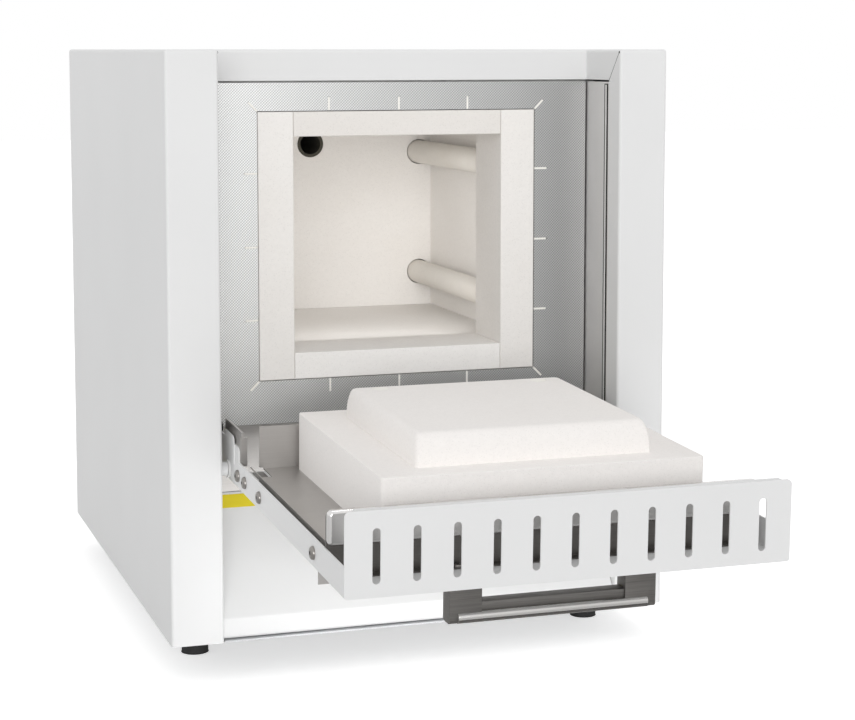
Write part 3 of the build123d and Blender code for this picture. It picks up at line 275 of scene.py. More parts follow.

# %% [markdown]
# ### Embossed lining
#
# The lining round the mouth is rolled with a fine diamond pattern, about two millimetres between
# ridges, which hides scratches and heat marks. Two sets of slanting waves, one stronger than the
# other, make it. The colour is also painted darker towards the right and lower down. This is a painted
# reflection that stands in for the darker surroundings the steel reflects there.

# %% Embossed lining group
emboss_group, start, end = new_group(
    "embossed_lining",
    [
        ("Place", "Vector", None),
        ("Metal", "Color", (0.7, 0.7, 0.7, 1.0)),
        ("Ridges per Metre", "Float", 460.0),
        ("Sheen Roughness", "Float", 0.4),
    ],
    [("Colour", "Color"), ("Roughness", "Float"), ("Height", "Float")],
)
apart = emboss_group.nodes.new("ShaderNodeSeparateXYZ")
emboss_group.links.new(start.outputs["Place"], apart.inputs["Vector"])
level = sums(emboss_group, "ADD", apart.outputs["X"], apart.outputs["Y"])


def slanting_wave(sign, weight):
    diagonal = sums(emboss_group, "MULTIPLY_ADD", apart.outputs["Z"], sign, level)
    turns = sums(emboss_group, "MULTIPLY", diagonal, start.outputs["Ridges per Metre"])
    wave = sums(emboss_group, "SINE", sums(emboss_group, "MULTIPLY", turns, 2 * pi), 0.0)
    return sums(emboss_group, "MULTIPLY", wave, weight)


ridges = sums(emboss_group, "ADD", slanting_wave(-1.0, 0.32), slanting_wave(1.0, 0.18))
ridges = sums(emboss_group, "ADD", ridges, 0.5)
lightness = spread(emboss_group, ridges, 0.0, 1.0, 0.55, 1.25)
# Painted reflection: the colour gets darker towards +X and towards low Z, standing in for dark surroundings reflected
# in the steel.
across = sums(emboss_group, "MULTIPLY_ADD", apart.outputs["X"], -1.55, -0.5)
reflection_falloff = sums(emboss_group, "MULTIPLY_ADD", apart.outputs["Z"], 0.25, across)
painted_reflection_tone = sums(emboss_group, "MINIMUM", sums(emboss_group, "EXPONENT", reflection_falloff, 0.0), 1.1)
tone = sums(emboss_group, "MULTIPLY", lightness, painted_reflection_tone)
emboss_group.links.new(shade(emboss_group, start.outputs["Metal"], tone), end.inputs["Colour"])
grain = noise(emboss_group, start.outputs["Place"], 30.0, detail=2.0)
rough = sums(emboss_group, "MULTIPLY_ADD", grain, 0.1, start.outputs["Sheen Roughness"])
emboss_group.links.new(rough, end.inputs["Roughness"])
emboss_group.links.new(ridges, end.inputs["Height"])

# %% [markdown]
# ### Fired clay and fibre
#
# Light refractory brick is full of small pores, with faint warm clouds and a few darker specks of
# ash. Voronoi cells of two sizes make the pores, and noise makes the clouds.

# %% Fired clay group
clay_group, start, end = new_group(
    "fired_clay",
    [
        ("Place", "Vector", None),
        ("Clay", "Color", (0.85, 0.83, 0.8, 1.0)),
        ("Shadow Clay", "Color", (0.72, 0.68, 0.62, 1.0)),
        ("Pores per Metre", "Float", 420.0),
        ("Cloud Amount", "Float", 0.25),
    ],
    [("Colour", "Color"), ("Roughness", "Float"), ("Height", "Float")],
)
place = start.outputs["Place"]
pores = clay_group.nodes.new("ShaderNodeTexVoronoi")
clay_group.links.new(place, pores.inputs["Vector"])
clay_group.links.new(start.outputs["Pores per Metre"], pores.inputs["Scale"])
pits = spread(clay_group, pores.outputs["Distance"], 0.05, 0.3)
crumb = noise(clay_group, place, 260.0, detail=4.0, roughness=0.65)
clouds = noise(clay_group, place, 9.0, detail=4.0, roughness=0.6)
mask = sums(clay_group, "MULTIPLY", spread(clay_group, clouds, 0.4, 0.75), start.outputs["Cloud Amount"])
warm = blend(clay_group, mask, start.outputs["Clay"], start.outputs["Shadow Clay"])
tone = sums(clay_group, "MULTIPLY", spread(clay_group, pits, 0.0, 1.0, 0.9, 1.0), spread(clay_group, crumb, 0.3, 0.7, 0.97, 1.01))
clay_group.links.new(shade(clay_group, warm, tone), end.inputs["Colour"])
clay_group.links.new(spread(clay_group, crumb, 0.3, 0.7, 0.85, 0.97), end.inputs["Roughness"])
height = sums(clay_group, "MULTIPLY_ADD", crumb, 0.6, sums(clay_group, "MULTIPLY", pits, 0.5))
clay_group.links.new(height, end.inputs["Height"])

# %% [markdown]
# ### From group to material
#
# A finish is a Principled shader fed by one group through Object coordinates. Numbers that are the
# same all over, such as the metal's Metallic of 1, are set on the shader itself.

# %% Material maker
def make_finish(name, group, values, bump=0.2, distance=0.0002, **constants):
    material = bpy.data.materials.new(name)
    material.use_nodes = True
    tree = material.node_tree
    shader = tree.nodes["Principled BSDF"]
    for label, value in constants.items():
        shader.inputs[label.replace("_", " ")].default_value = value
    where = tree.nodes.new("ShaderNodeTexCoord")
    effect = tree.nodes.new("ShaderNodeGroup")
    effect.node_tree = group
    tree.links.new(where.outputs["Object"], effect.inputs["Place"])
    for label, value in values.items():
        effect.inputs[label].default_value = value
    tree.links.new(effect.outputs["Colour"], shader.inputs["Base Color"])
    tree.links.new(effect.outputs["Roughness"], shader.inputs["Roughness"])
    relief = tree.nodes.new("ShaderNodeBump")
    relief.inputs["Strength"].default_value = bump
    relief.inputs["Distance"].default_value = distance
    tree.links.new(effect.outputs["Height"], relief.inputs["Height"])
    tree.links.new(relief.outputs["Normal"], shader.inputs["Normal"])
    return material


def paint(name, colour, roughness=0.45, **more):
    return make_finish(name, powder_group, {"Paint": (*colour, 1.0), "Gloss Roughness": roughness}, **more)


def steel(name, colour, roughness=0.32, contrast=0.12, **more):
    values = {"Metal": (*colour, 1.0), "Sheen Roughness": roughness, "Line Contrast": contrast}
    return make_finish(name, sheet_group, values, bump=0.05, distance=0.0001, Metallic=1.0, **more)


def clay(name, colour, shadow, pores=420.0, cloud=0.25, bump=0.35, **more):
    values = {"Clay": (*colour, 1.0), "Shadow Clay": (*shadow, 1.0), "Pores per Metre": pores, "Cloud Amount": cloud}
    return make_finish(name, clay_group, values, bump=bump, distance=0.0006, **more)


finishes = {
    "light_paint": paint("light_paint", (0.785, 0.787, 0.787), 0.42),
    "yellow_paint": paint("yellow_paint", (0.80, 0.66, 0.012), 0.5),
    # This finish carries the lining group's painted reflection gradient.
    "patterned_stainless": make_finish(
        "patterned_stainless",
        emboss_group,
        {"Metal": (0.85, 0.855, 0.85, 1.0), "Ridges per Metre": 340.0, "Sheen Roughness": 0.42},
        bump=0.25,
        distance=0.0002,
        Metallic=1.0,
    ),
    "liner_stainless": steel("liner_stainless", (0.80, 0.785, 0.775), 0.45, 0.06),
    "smooth_stainless": steel("smooth_stainless", (0.50, 0.485, 0.47), 0.33),
    "galvanised": steel("galvanised", (0.5, 0.51, 0.52), 0.42, 0.2),
    "fired_brick": clay("fired_brick", (0.915, 0.89, 0.86), (0.83, 0.79, 0.74), 430.0, 0.3),
    "door_brick": clay("door_brick", (0.94, 0.91, 0.885), (0.88, 0.84, 0.80), 500.0, 0.2, 0.25),
    # The lintel and sill finishes are fired brick painted darker and lighter: painted shade on the lintel, painted
    # bounce light on the sill.
    "lintel_brick_painted_shade": clay("lintel_brick_painted_shade", (0.845, 0.815, 0.78), (0.77, 0.73, 0.68), 430.0, 0.3),
    "sill_brick_painted_light": clay("sill_brick_painted_light", (0.965, 0.945, 0.92), (0.88, 0.85, 0.81), 430.0, 0.3),
    "sooted_ceramic": clay("sooted_ceramic", (0.075, 0.07, 0.055), (0.04, 0.036, 0.028), 700.0, 0.3),
    "slit_felt": clay("slit_felt", (0.97, 0.95, 0.90), (0.93, 0.90, 0.84), 900.0, 0.15, 0.1),
    "fibre_board": clay("fibre_board", (0.88, 0.88, 0.86), (0.82, 0.80, 0.76), 700.0, 0.2),
    "tube_ceramic": clay("tube_ceramic", (0.82, 0.79, 0.74), (0.70, 0.65, 0.58), 900.0, 0.3, 0.15),
    "heater_wire": steel("heater_wire", (0.16, 0.14, 0.12), 0.6, 0.3),
    "bright_screw": steel("bright_screw", (0.30, 0.285, 0.27), 0.22, 0.05),
    "white_bush": paint("white_bush", (0.80, 0.80, 0.79), 0.4),
    "bearing_brass": steel("bearing_brass", (0.62, 0.60, 0.55), 0.35, 0.1),
    "black_rubber": paint("black_rubber", (0.025, 0.025, 0.025), 0.75),
    "black_plastic": paint("black_plastic", (0.045, 0.045, 0.05), 0.5),
    "key_plastic": paint("key_plastic", (0.35, 0.36, 0.37), 0.45),
    "rocker_plastic": paint("rocker_plastic", (0.03, 0.03, 0.03), 0.2),
    "display_glass": paint("display_glass", (0.015, 0.02, 0.022), 0.08, bump=0.0),
    "power_aluminium": steel("power_aluminium", (0.7, 0.7, 0.7), 0.35, 0.15),
    "handle_grey": paint("handle_grey", (0.15, 0.14, 0.128), 0.38),
    "rolled_stainless": steel("rolled_stainless", (0.74, 0.73, 0.72), 0.2, 0.06),
    # Steel painted dark as painted shade, used for the tray's end wall and its corner plates.
    "shade_dark_steel": steel("shade_dark_steel", (0.21, 0.20, 0.19), 0.3, 0.2),
    "grip_steel": steel("grip_steel", (0.165, 0.158, 0.15), 0.42, 0.7),
    "polished_steel": steel("polished_steel", (0.60, 0.59, 0.575), 0.16, 0.04),
}
own_finish = {
    "block_caps": "slit_felt",
    # Lintel and sill take the painted-shade and painted-light copies of the fired brick.
    "collar_lintel": "lintel_brick_painted_shade",
    "collar_sill": "sill_brick_painted_light",
    "exhaust_tube": "sooted_ceramic",
    "hinge_bushes": "white_bush",
    "hinge_pins": "light_paint",
}
for part in frame["record"]["subparts"]:
    node = bpy.data.objects[part["node"]]
    node.data.materials.clear()
    node.data.materials.append(finishes[own_finish.get(part["node"], part["material_slot"])])
print("finishes:", len(finishes))

# %% [markdown]
# ## More helpers: boxes, cuts and copies
#
# Many parts start as a box or a rod, and holes and grooves are cut with a second shape, as a drill
# or a mill would. The cutter is thrown away at once. A repeated part is modelled once, and each
# copy gets a mesh of its own.

# %% Box, rod, cut and copy
def add_box(centre, size):
    start_fresh()
    bpy.ops.mesh.primitive_cube_add(size=1.0, location=centre, scale=size)
    bpy.ops.object.transform_apply(location=True, rotation=False, scale=True)
    return bpy.context.object


def add_rod(centre, radius, length, axis="Z", sides=48):
    """A round bar along X, Y or Z."""
    turn = {"X": (0.0, pi / 2, 0.0), "Y": (pi / 2, 0.0, 0.0), "Z": (0.0, 0.0, 0.0)}[axis]
    start_fresh()
    bpy.ops.mesh.primitive_cylinder_add(vertices=sides, radius=radius, depth=length, location=centre, rotation=turn)
    bpy.ops.object.transform_apply(location=True, rotation=True, scale=False)
    return bpy.context.object


def round_edges(piece, wanted, offset, segments=3):
    """Bevel the edges for which wanted(edge) is true."""
    bpy.context.view_layer.objects.active = piece
    bpy.ops.object.mode_set(mode="EDIT")
    count = select_parts(piece, "EDGE", wanted)
    bpy.ops.mesh.bevel(offset=offset, segments=segments, profile=0.5, clamp_overlap=True)
    bpy.ops.object.mode_set(mode="OBJECT")
    return count


def cut_with(piece, cutter):
    """Take the cutter's shape out of the piece, then throw the cutter away."""
    start_fresh()
    piece.select_set(True)
    bpy.context.view_layer.objects.active = piece
    cut = piece.modifiers.new("cut", "BOOLEAN")
    cut.operation = "DIFFERENCE"
    cut.solver = "EXACT"
    cut.object = cutter
    bpy.ops.object.modifier_apply(modifier=cut.name)
    bpy.data.objects.remove(cutter)


def join_parts(first, *others):
    start_fresh()
    for piece in (first, *others):
        piece.select_set(True)
    bpy.context.view_layer.objects.active = first
    bpy.ops.object.join()
    return first


def own_copy(piece):
    twin = piece.copy()
    twin.data = piece.data.copy()
    bpy.context.scene.collection.objects.link(twin)
    return twin


def runs_along(edge, axis):
    """True for an edge that runs along one axis, given as 0, 1 or 2."""
    run = edge.verts[1].co - edge.verts[0].co
    return abs(run[axis]) > 0.9 * run.length


# %% [markdown]
# ## The door brick
#
# The door carries one light refractory brick: a slab, and on it a plug that fills the mouth when
# the door is shut. Its shoulders are rubbed round, so that it slides in past the collar. The slab
# is a box. Its top is inset, and the plug grows from it in short extrusions that each draw in a
# little more, along a quarter of an ellipse, with the free side drawn in twice as far. Two round
# pockets take the ceramic caps that hide the bolts.

# %% Door brick
SLAB_LOW, SLAB_FACE, PLUG_FACE = 14.5, 70.0, 98.5
SLAB_ENDS = (76.75, 351.75)
SLAB_WIDTH, PLUG_WIDTH = 300.0, 222.0
PLUG_ENDS = (105.55, 324.55)
SIDE_SLANT, HINGE_SLANT, FREE_SLANT = 6.5, 6.5, 14.0
CAP_PLACES = ((-81.0, 121.55), (81.0, 121.55))

slab_middle = sum(SLAB_ENDS) / 2
slab_length = SLAB_ENDS[1] - SLAB_ENDS[0]
brick = add_box((0.0, slab_middle, (SLAB_LOW + SLAB_FACE) / 2), (SLAB_WIDTH, slab_length, SLAB_FACE - SLAB_LOW))
plug_middle = sum(PLUG_ENDS) / 2
plug_length = PLUG_ENDS[1] - PLUG_ENDS[0]
margin = (slab_length - plug_length) / 2
bpy.ops.object.mode_set(mode="EDIT")
select_parts(brick, "FACE", lambda f: f.normal.z > 0.9)
bpy.ops.mesh.inset(thickness=margin)
narrower = PLUG_WIDTH / (SLAB_WIDTH - 2 * margin)
bpy.ops.transform.resize(value=(narrower, 1.0, 1.0), center_override=(0.0, slab_middle, SLAB_FACE))
bpy.ops.transform.translate(value=(0.0, plug_middle - slab_middle, 0.0))


def drawn_in(share):
    """Width, near end and far end of the plug at a share of its height."""
    bulge = 1 - sqrt(1 - share**2)
    near = PLUG_ENDS[0] + HINGE_SLANT * bulge
    far = PLUG_ENDS[1] - FREE_SLANT * bulge
    return PLUG_WIDTH - 2 * SIDE_SLANT * bulge, near, far


last = 0.0
for share in (0.3, 0.55, 0.75, 0.88, 0.96, 1.0):
    old_width, old_near, old_far = drawn_in(last)
    width, near, far = drawn_in(share)
    level = SLAB_FACE + (PLUG_FACE - SLAB_FACE) * share
    rise = (PLUG_FACE - SLAB_FACE) * (share - last)
    bpy.ops.mesh.extrude_region_move(TRANSFORM_OT_translate={"value": (0.0, 0.0, rise)})
    ratio = (width / old_width, (far - near) / (old_far - old_near), 1.0)
    bpy.ops.transform.resize(value=ratio, center_override=(0.0, (old_near + old_far) / 2, level))
    bpy.ops.transform.translate(value=(0.0, (near + far - old_near - old_far) / 2, 0.0))
    last = share
bpy.ops.object.mode_set(mode="OBJECT")


def low_and_high(edge):
    levels = sorted(v.co.z for v in edge.verts)
    return levels[0], levels[1]


def on_slab_rim(edge):
    low, high = low_and_high(edge)
    outside = all(abs(v.co.x) > SLAB_WIDTH / 2 - 5 or abs(v.co.y - slab_middle) > slab_length / 2 - 5 for v in edge.verts)
    return outside and low > SLAB_FACE - 0.01 and high < SLAB_FACE + 0.01


round_edges(brick, lambda e: runs_along(e, 2) and low_and_high(e)[0] < SLAB_LOW + 1, 4.0)
round_edges(brick, on_slab_rim, 2.4)
round_edges(brick, lambda e: low_and_high(e)[1] - low_and_high(e)[0] > 1 and low_and_high(e)[0] > SLAB_FACE - 0.01, 4.0)
round_edges(brick, lambda e: low_and_high(e)[0] > PLUG_FACE - 0.01, 1.0, 2)
for x, v in CAP_PLACES:
    cut_with(brick, add_rod((x, v, PLUG_FACE), 8.3, 10.0))
finish_piece(brick, "door_brick", "door", door_frame(), "door_brick", 30)
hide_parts("door_block")

# %% [markdown]
# ## Screws
#
# The flanges of the door are held by button-head screws with hexagon sockets. One head is a short
# cylinder whose rim is bevelled into a dome, with a six-sided hole cut in its top. It stands on
# z = 0, so a matrix is enough to turn each copy outwards and set it on its flange. The rear panel
# has smaller ones.

# %% Screw heads
def button_head(radius, height, socket_radius):
    head = add_rod((0.0, 0.0, height / 2), radius, height)
    round_edges(head, lambda e: min(v.co.z for v in e.verts) > height - 0.01, 0.82 * height, 5)
    cut_with(head, add_rod((0.0, 0.0, height), socket_radius, 1.1 * height, sides=6))
    return head


SCREW_ALONG = (41.0, 70.0, 129.0, 323.0)
DOOR_HALF = 201.2
flange_head = button_head(6.0, 3.2, 2.0)
for side, side_name in ((1, "left"), (-1, "right")):
    for order, v in enumerate(SCREW_ALONG):
        seat = Matrix.Translation((side * DOOR_HALF, v, 2.0)) @ Matrix.Rotation(side * pi / 2, 4, "Y")
        name = f"flange_screw_{side_name}_{order + 1}"
        screw = finish_piece(own_copy(flange_head), name, "door", door_frame() @ seat, "bright_screw")
        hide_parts("door_screws")
bpy.data.objects.remove(flange_head)

rear_low, rear_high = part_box("rear_screws")
millimetre = Matrix.Scale(0.001, 4)
panel_head = button_head(4.0, 2.0, 1.3)
rear_y = rear_high[1] * 1000 - 2.0
for column, x in enumerate((rear_low[0] * 1000 + 4.0, rear_high[0] * 1000 - 4.0)):
    for row, share in enumerate((0.0, 0.5, 1.0)):
        z = rear_low[2] * 1000 + 4.0 + share * ((rear_high[2] - rear_low[2]) * 1000 - 8.0)
        seat = Matrix.Translation((x, rear_y, z)) @ Matrix.Rotation(-pi / 2, 4, "X")
        name = f"rear_screw_{column + 1}_{row + 1}"
        screw = finish_piece(own_copy(panel_head), name, "housing", millimetre @ seat, "bright_screw")
        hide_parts("rear_screws")
bpy.data.objects.remove(panel_head)

# %% [markdown]
# ## The grip
#
# A polished rod lies in a channel of brushed dark steel between two blocks. The channel is a flat bar
# with a half tube under the rod and a thin web behind it. The dark half tube hides the rod's lower
# half as painted reflection, standing in for the dark reflection on that half. The half tube is a
# cylinder with its top half and its bore cut away. The blocks are boxes with the rod's groove cut
# through their faces and a large round at the bottom.

# %% Grip rod, channel and blocks
ROD_V, ROD_W, ROD_RADIUS, ROD_HALF = 370.5, -50.5, 5.0, 87.7
BLOCK_INNER, BLOCK_OUTER = 66.3, 95.3
BLOCK_V = (355.5, 373.5)
BLOCK_W = (-56.0, -11.5)
BAR_V = (357.5, 371.5)
BAR_W = (-46.0, -38.0)


def middle(pair):
    return (pair[0] + pair[1]) / 2


grip_rod = add_rod((0.0, ROD_V, ROD_W), ROD_RADIUS, 2 * ROD_HALF, "X")
round_edges(grip_rod, lambda e: min(abs(v.co.x) for v in e.verts) > ROD_HALF - 0.01, 1.0)
finish_piece(grip_rod, "grip_rod", "door", door_frame(), "polished_steel")
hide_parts("handle_rod")

bar = add_box((0.0, middle(BAR_V), middle(BAR_W)), (2 * BLOCK_INNER, BAR_V[1] - BAR_V[0], BAR_W[1] - BAR_W[0]))
round_edges(bar, lambda e: runs_along(e, 0), 1.2, 2)
cut_with(bar, add_rod((0.0, ROD_V, ROD_W), ROD_RADIUS + 0.05, 4 * ROD_HALF, "X"))
web = add_box((0.0, ROD_V - 6.0, -49.0), (2 * BLOCK_INNER, 1.6, 7.0))
# Painted reflection: this dark half tube hides the rod's lower half, standing in for the dark reflection seen there.
dark_reflection_lip = add_rod((0.0, ROD_V, ROD_W), ROD_RADIUS + 0.5, 2 * ROD_HALF, "X")
cut_with(dark_reflection_lip, add_box((0.0, ROD_V, ROD_W + 8.2), (4 * ROD_HALF, 40.0, 20.0)))
cut_with(dark_reflection_lip, add_rod((0.0, ROD_V, ROD_W), ROD_RADIUS + 0.05, 4 * ROD_HALF, "X"))
channel = join_parts(bar, web, dark_reflection_lip)
finish_piece(channel, "grip_channel", "door", door_frame(), "handle_grey", finish="grip_steel")
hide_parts("handle_bar")

for side, side_name in ((1, "left"), (-1, "right")):
    centre = (side * (BLOCK_INNER + BLOCK_OUTER) / 2, middle(BLOCK_V), middle(BLOCK_W))
    size = (BLOCK_OUTER - BLOCK_INNER, BLOCK_V[1] - BLOCK_V[0], BLOCK_W[1] - BLOCK_W[0])
    block = add_box(centre, size)
    round_edges(block, lambda e: runs_along(e, 0) and e.verts[0].co.z < BLOCK_W[0] + 1, 4.0, 4)
    round_edges(block, lambda e: runs_along(e, 2) and e.calc_length() > 20, 0.7, 2)
    cut_with(block, add_rod((0.0, ROD_V, ROD_W), ROD_RADIUS + 0.05, 2 * ROD_HALF + 0.1, "X"))
    finish_piece(block, f"grip_block_{side_name}", "door", door_frame(), "handle_grey", finish="grip_steel")
    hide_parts("handle_mounts")

# %% [markdown]
# ## End wall of the tray
#
# Behind the slotted plate a steel angle closes the free end of the tray, and its foot is screwed to
# the door. Its steel is painted dark as painted shade, standing in for the shade inside the door
# behind the slots. A bright stainless moulding with soft edges is rolled over its upper part.
# Through the slots this gives a bright line above a darker band, and above the plate a bright
# rounded edge. The sheets are thin boxes, and the moulding is a box with all edges rounded.

# %% End wall and its screws
WALL_V, WALL_HALF, WALL_W = 353.75, 199.2, (-10.0, 46.0)
WALL_SHEET, WALL_CORNER, FOOT_REACH = 1.0, 5.0, 12.0
wall_height = WALL_W[1] - WALL_W[0]
wall = add_box((0.0, WALL_V + WALL_SHEET / 2, sum(WALL_W) / 2), (2 * WALL_HALF, WALL_SHEET, wall_height))
round_edges(wall, lambda e: runs_along(e, 1) and e.verts[0].co.z > WALL_W[1] - 1, WALL_CORNER, 6)
straight_half = WALL_HALF - WALL_CORNER
foot_strip = add_box((0.0, WALL_V + FOOT_REACH / 2, WALL_W[0] + 0.55), (2 * straight_half, FOOT_REACH, 1.0))
round_edges(foot_strip, lambda e: runs_along(e, 2), 2.0, 3)
end_wall = join_parts(wall, foot_strip)
# The end wall's dark steel is painted shade for the shade behind the slots.
finish_piece(end_wall, "end_wall", "door", door_frame(), "smooth_stainless", finish="shade_dark_steel")
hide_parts("door_end_wall")

MOULDING_LOW, MOULDING_HIGH, MOULDING_DEPTH = 17.0, 48.0, 9.0
moulding_centre = (0.0, WALL_V - 0.5 + MOULDING_DEPTH / 2, (MOULDING_LOW + MOULDING_HIGH) / 2)
moulding = add_box(moulding_centre, (2 * WALL_HALF, MOULDING_DEPTH, MOULDING_HIGH - MOULDING_LOW))
round_edges(moulding, lambda e: runs_along(e, 1), WALL_CORNER, 6)
round_edges(moulding, lambda e: not runs_along(e, 1), 3.6, 6)
finish_piece(moulding, "end_moulding", "door", door_frame(), "smooth_stainless", finish="rolled_stainless")

foot_head = button_head(4.0, 2.4, 1.5)
for order, x in enumerate((84.0, -84.0)):
    seat = Matrix.Translation((x, WALL_V + 7.0, WALL_W[0] + 1.05))
    finish_piece(own_copy(foot_head), f"foot_screw_{order + 1}", "door", door_frame() @ seat, "bright_screw")
bpy.data.objects.remove(foot_head)

# %% [markdown]
# ## Painted shadow in the mitres
#
# The cover is folded from one sheet, and where a column's flank turns into the fascia a narrow
# mitre slit is left, which ends in a small relief hole at the fold. A black strip lies in the slit
# as painted shadow, standing in for the shade inside the slit and hole. It is a thin strip joined
# to a round dot, tilted by a matrix to the line of the slit.

# %% Mitre shadow strips
FLANK_X = 212.0
MITRE_TOP = (-121.945, 625.0)
MITRE_FOOT = (-96.445, 596.0)
mitre_run = (MITRE_TOP[0] - MITRE_FOOT[0], MITRE_TOP[1] - MITRE_FOOT[1])
mitre_length = sqrt(mitre_run[0] ** 2 + mitre_run[1] ** 2)
mitre_turn = Matrix.Rotation(atan2(-mitre_run[0], mitre_run[1]), 4, "X")
for side, side_name in ((-1, "left"), (1, "right")):
    strip = add_box((0.0, 0.0, 0.0), (0.5, 0.75, mitre_length))
    round_edges(strip, lambda e: runs_along(e, 2), 0.12, 1)
    strip = join_parts(strip, add_rod((0.0, 0.0, mitre_length / 2), 1.25, 0.5, "X", sides=24))
    centre = (side * (FLANK_X + 0.15), sum(pair[0] for pair in (MITRE_TOP, MITRE_FOOT)) / 2, (MITRE_TOP[1] + MITRE_FOOT[1]) / 2)
    seat = millimetre @ Matrix.Translation(centre) @ mitre_turn
    # The black strip is painted shadow in the slit.
    finish_piece(strip, f"mitre_shadow_strip_{side_name}", "housing", seat, "black_rubber")

# %% [markdown]
# ## Edge strips of the recess
#
# Where each side liner of the recess ends, the photograph shows two fine dark lines with a bright
# one between them. They are modelled as a thin seal with a folded steel clip over its middle, on
# both sides. They stand half a millimetre off the liner, well clear of the swinging door.

# %% Edge strips
STRIP_LOW, STRIP_WIDTH, STRIP_PROUD, CLIP_WIDTH = 176.0, 9.0, 0.5, 3.0
for side, sign in (("left", -1.0), ("right", 1.0)):
    liner_low, liner_high = (Vector(corner) * 1000 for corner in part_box(f"{side}_recess_liner"))
    inner_face = min(abs(liner_low.x), abs(liner_high.x))
    strip_high = liner_high.z - 2.0
    strip_centre = (sign * (inner_face - STRIP_PROUD / 2), liner_low.y + STRIP_WIDTH / 2 + 1.5, (strip_high + STRIP_LOW) / 2)
    seal = add_box(strip_centre, (STRIP_PROUD, STRIP_WIDTH, strip_high - STRIP_LOW))
    round_edges(seal, lambda e: runs_along(e, 2), 0.15, 2)
    finish_piece(seal, f"recess_seal_{side}", "housing", millimetre, "black_rubber")
    clip_centre = (sign * (inner_face - STRIP_PROUD - 0.1), strip_centre[1], strip_centre[2])
    clip = add_box(clip_centre, (0.6, CLIP_WIDTH, strip_high - STRIP_LOW - 2.0))
    round_edges(clip, lambda e: runs_along(e, 2), 0.2, 2)
    finish_piece(clip, f"recess_clip_{side}", "housing", millimetre, "smooth_stainless", finish="liner_stainless")

# %% [markdown]
# ## Felt in the slits
#
# The embossed front plate is slit round the collar so that it can grow with heat. The photograph
# shows the slits as bright cream lines, so they are filled with white fibre felt. One strip of felt
# is made, and sixteen copies of it are placed, three on each side and one at each corner.

# %% Felt strips
COLLAR_GAP, SLIT_LENGTH, CORNER_LENGTH, SLIT_SPACING = 0.8, 14.0, 12.6, 76.0
FELT_WIDTH, FELT_DEPTH, FELT_PROUD = 2.0, 0.8, 0.12
collar_names = ("collar_post_left", "collar_post_right", "collar_lintel", "collar_sill")
collar_boxes = [[Vector(corner) * 1000 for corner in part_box(name)] for name in collar_names]
half_x = max(high.x for low, high in collar_boxes) + COLLAR_GAP
collar_low = min(low.z for low, high in collar_boxes) - COLLAR_GAP
collar_high = max(high.z for low, high in collar_boxes) + COLLAR_GAP
middle_z, half_z = (collar_low + collar_high) / 2, (collar_high - collar_low) / 2
plate_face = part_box("front_plate")[0][1] * 1000
felt_y = plate_face - FELT_PROUD + FELT_DEPTH / 2
places = []
for step in (-1, 0, 1):
    along_slit = step * SLIT_SPACING
    places += [(along_slit, half_z + SLIT_LENGTH / 2, 90), (along_slit, -half_z - SLIT_LENGTH / 2, 90)]
    places += [(half_x + SLIT_LENGTH / 2, along_slit, 0), (-half_x - SLIT_LENGTH / 2, along_slit, 0)]
corner_shift = CORNER_LENGTH / 2 * cos(radians(45))
for x_side in (-1, 1):
    for z_side in (-1, 1):
        corner = (x_side * (half_x + corner_shift), z_side * (half_z + corner_shift))
        places.append((*corner, -45 * x_side * z_side))
felt_model = add_box((0.0, 0.0, 0.0), (SLIT_LENGTH - 0.8, FELT_DEPTH, FELT_WIDTH))
round_edges(felt_model, lambda e: runs_along(e, 1), 0.6, 3)
for order, (x, z, angle) in enumerate(places):
    seat = millimetre @ Matrix.Translation((x, felt_y, middle_z + z)) @ Matrix.Rotation(radians(angle), 4, "Y")
    finish_piece(own_copy(felt_model), f"slit_felt_{order + 1}", "housing", seat, "fibre_board", finish="slit_felt")
bpy.data.objects.remove(felt_model)
print("felt strips:", len(places))

# %% [markdown]
# ## Ear plates
#
# At each hinge the white side of the door ends in an upright ear with rounded corners. A painted
# plate on the outside of the side sheet gives the ear its straight front edge above the pin.

# %% Ear plates
EAR_FACE, EAR_SHEET, EAR_BACK, EAR_FRONT, EAR_LOW, EAR_HIGH = 201.2, 0.8, -17.0, 25.0, 10.0, 38.0
for side, sign in (("left", 1.0), ("right", -1.0)):
    ear_centre = (sign * (EAR_FACE + EAR_SHEET / 2 - 0.02), (EAR_BACK + EAR_FRONT) / 2, (EAR_LOW + EAR_HIGH) / 2)
    ear = add_box(ear_centre, (EAR_SHEET, EAR_FRONT - EAR_BACK, EAR_HIGH - EAR_LOW))
    round_edges(ear, lambda e: runs_along(e, 0) and e.verts[0].co.z > EAR_HIGH - 1, 6.0, 5)
    finish_piece(ear, f"ear_plate_{side}", "door", door_frame(), "light_paint")

# %% [markdown]
# ## Shade plates of the tray
#
# At each rear corner the tray's floor has a notch that clears the hinge arm, and it is seen dark. A
# small plate painted dark, as painted shade for the shade in the notch, lies just under each notch
# and closes it from below.

# %% Tray shade plates
SHADE_PLATE_X, SHADE_PLATE_V, SHADE_PLATE_W = 188.2, 84.5, 11.0
for side, sign in (("left", 1.0), ("right", -1.0)):
    # Dark plate as painted shade, closing the notch.
    shade_plate = add_box((sign * SHADE_PLATE_X, SHADE_PLATE_V, SHADE_PLATE_W), (11.0, 33.0, 0.8))
    round_edges(shade_plate, lambda e: runs_along(e, 2), 1.5, 3)
    finish_piece(shade_plate, f"tray_shade_plate_{side}", "door", door_frame(), "smooth_stainless", finish="shade_dark_steel")

# %% [markdown]
# ## The colour band
#
# A plain band of yellow film runs along the top of the inclined panel. It is laid on from a roll, so
# it is thin, straight and a little narrower than the flat under it. A thin box is turned to the
# slope of the panel, and its long edges are softened.

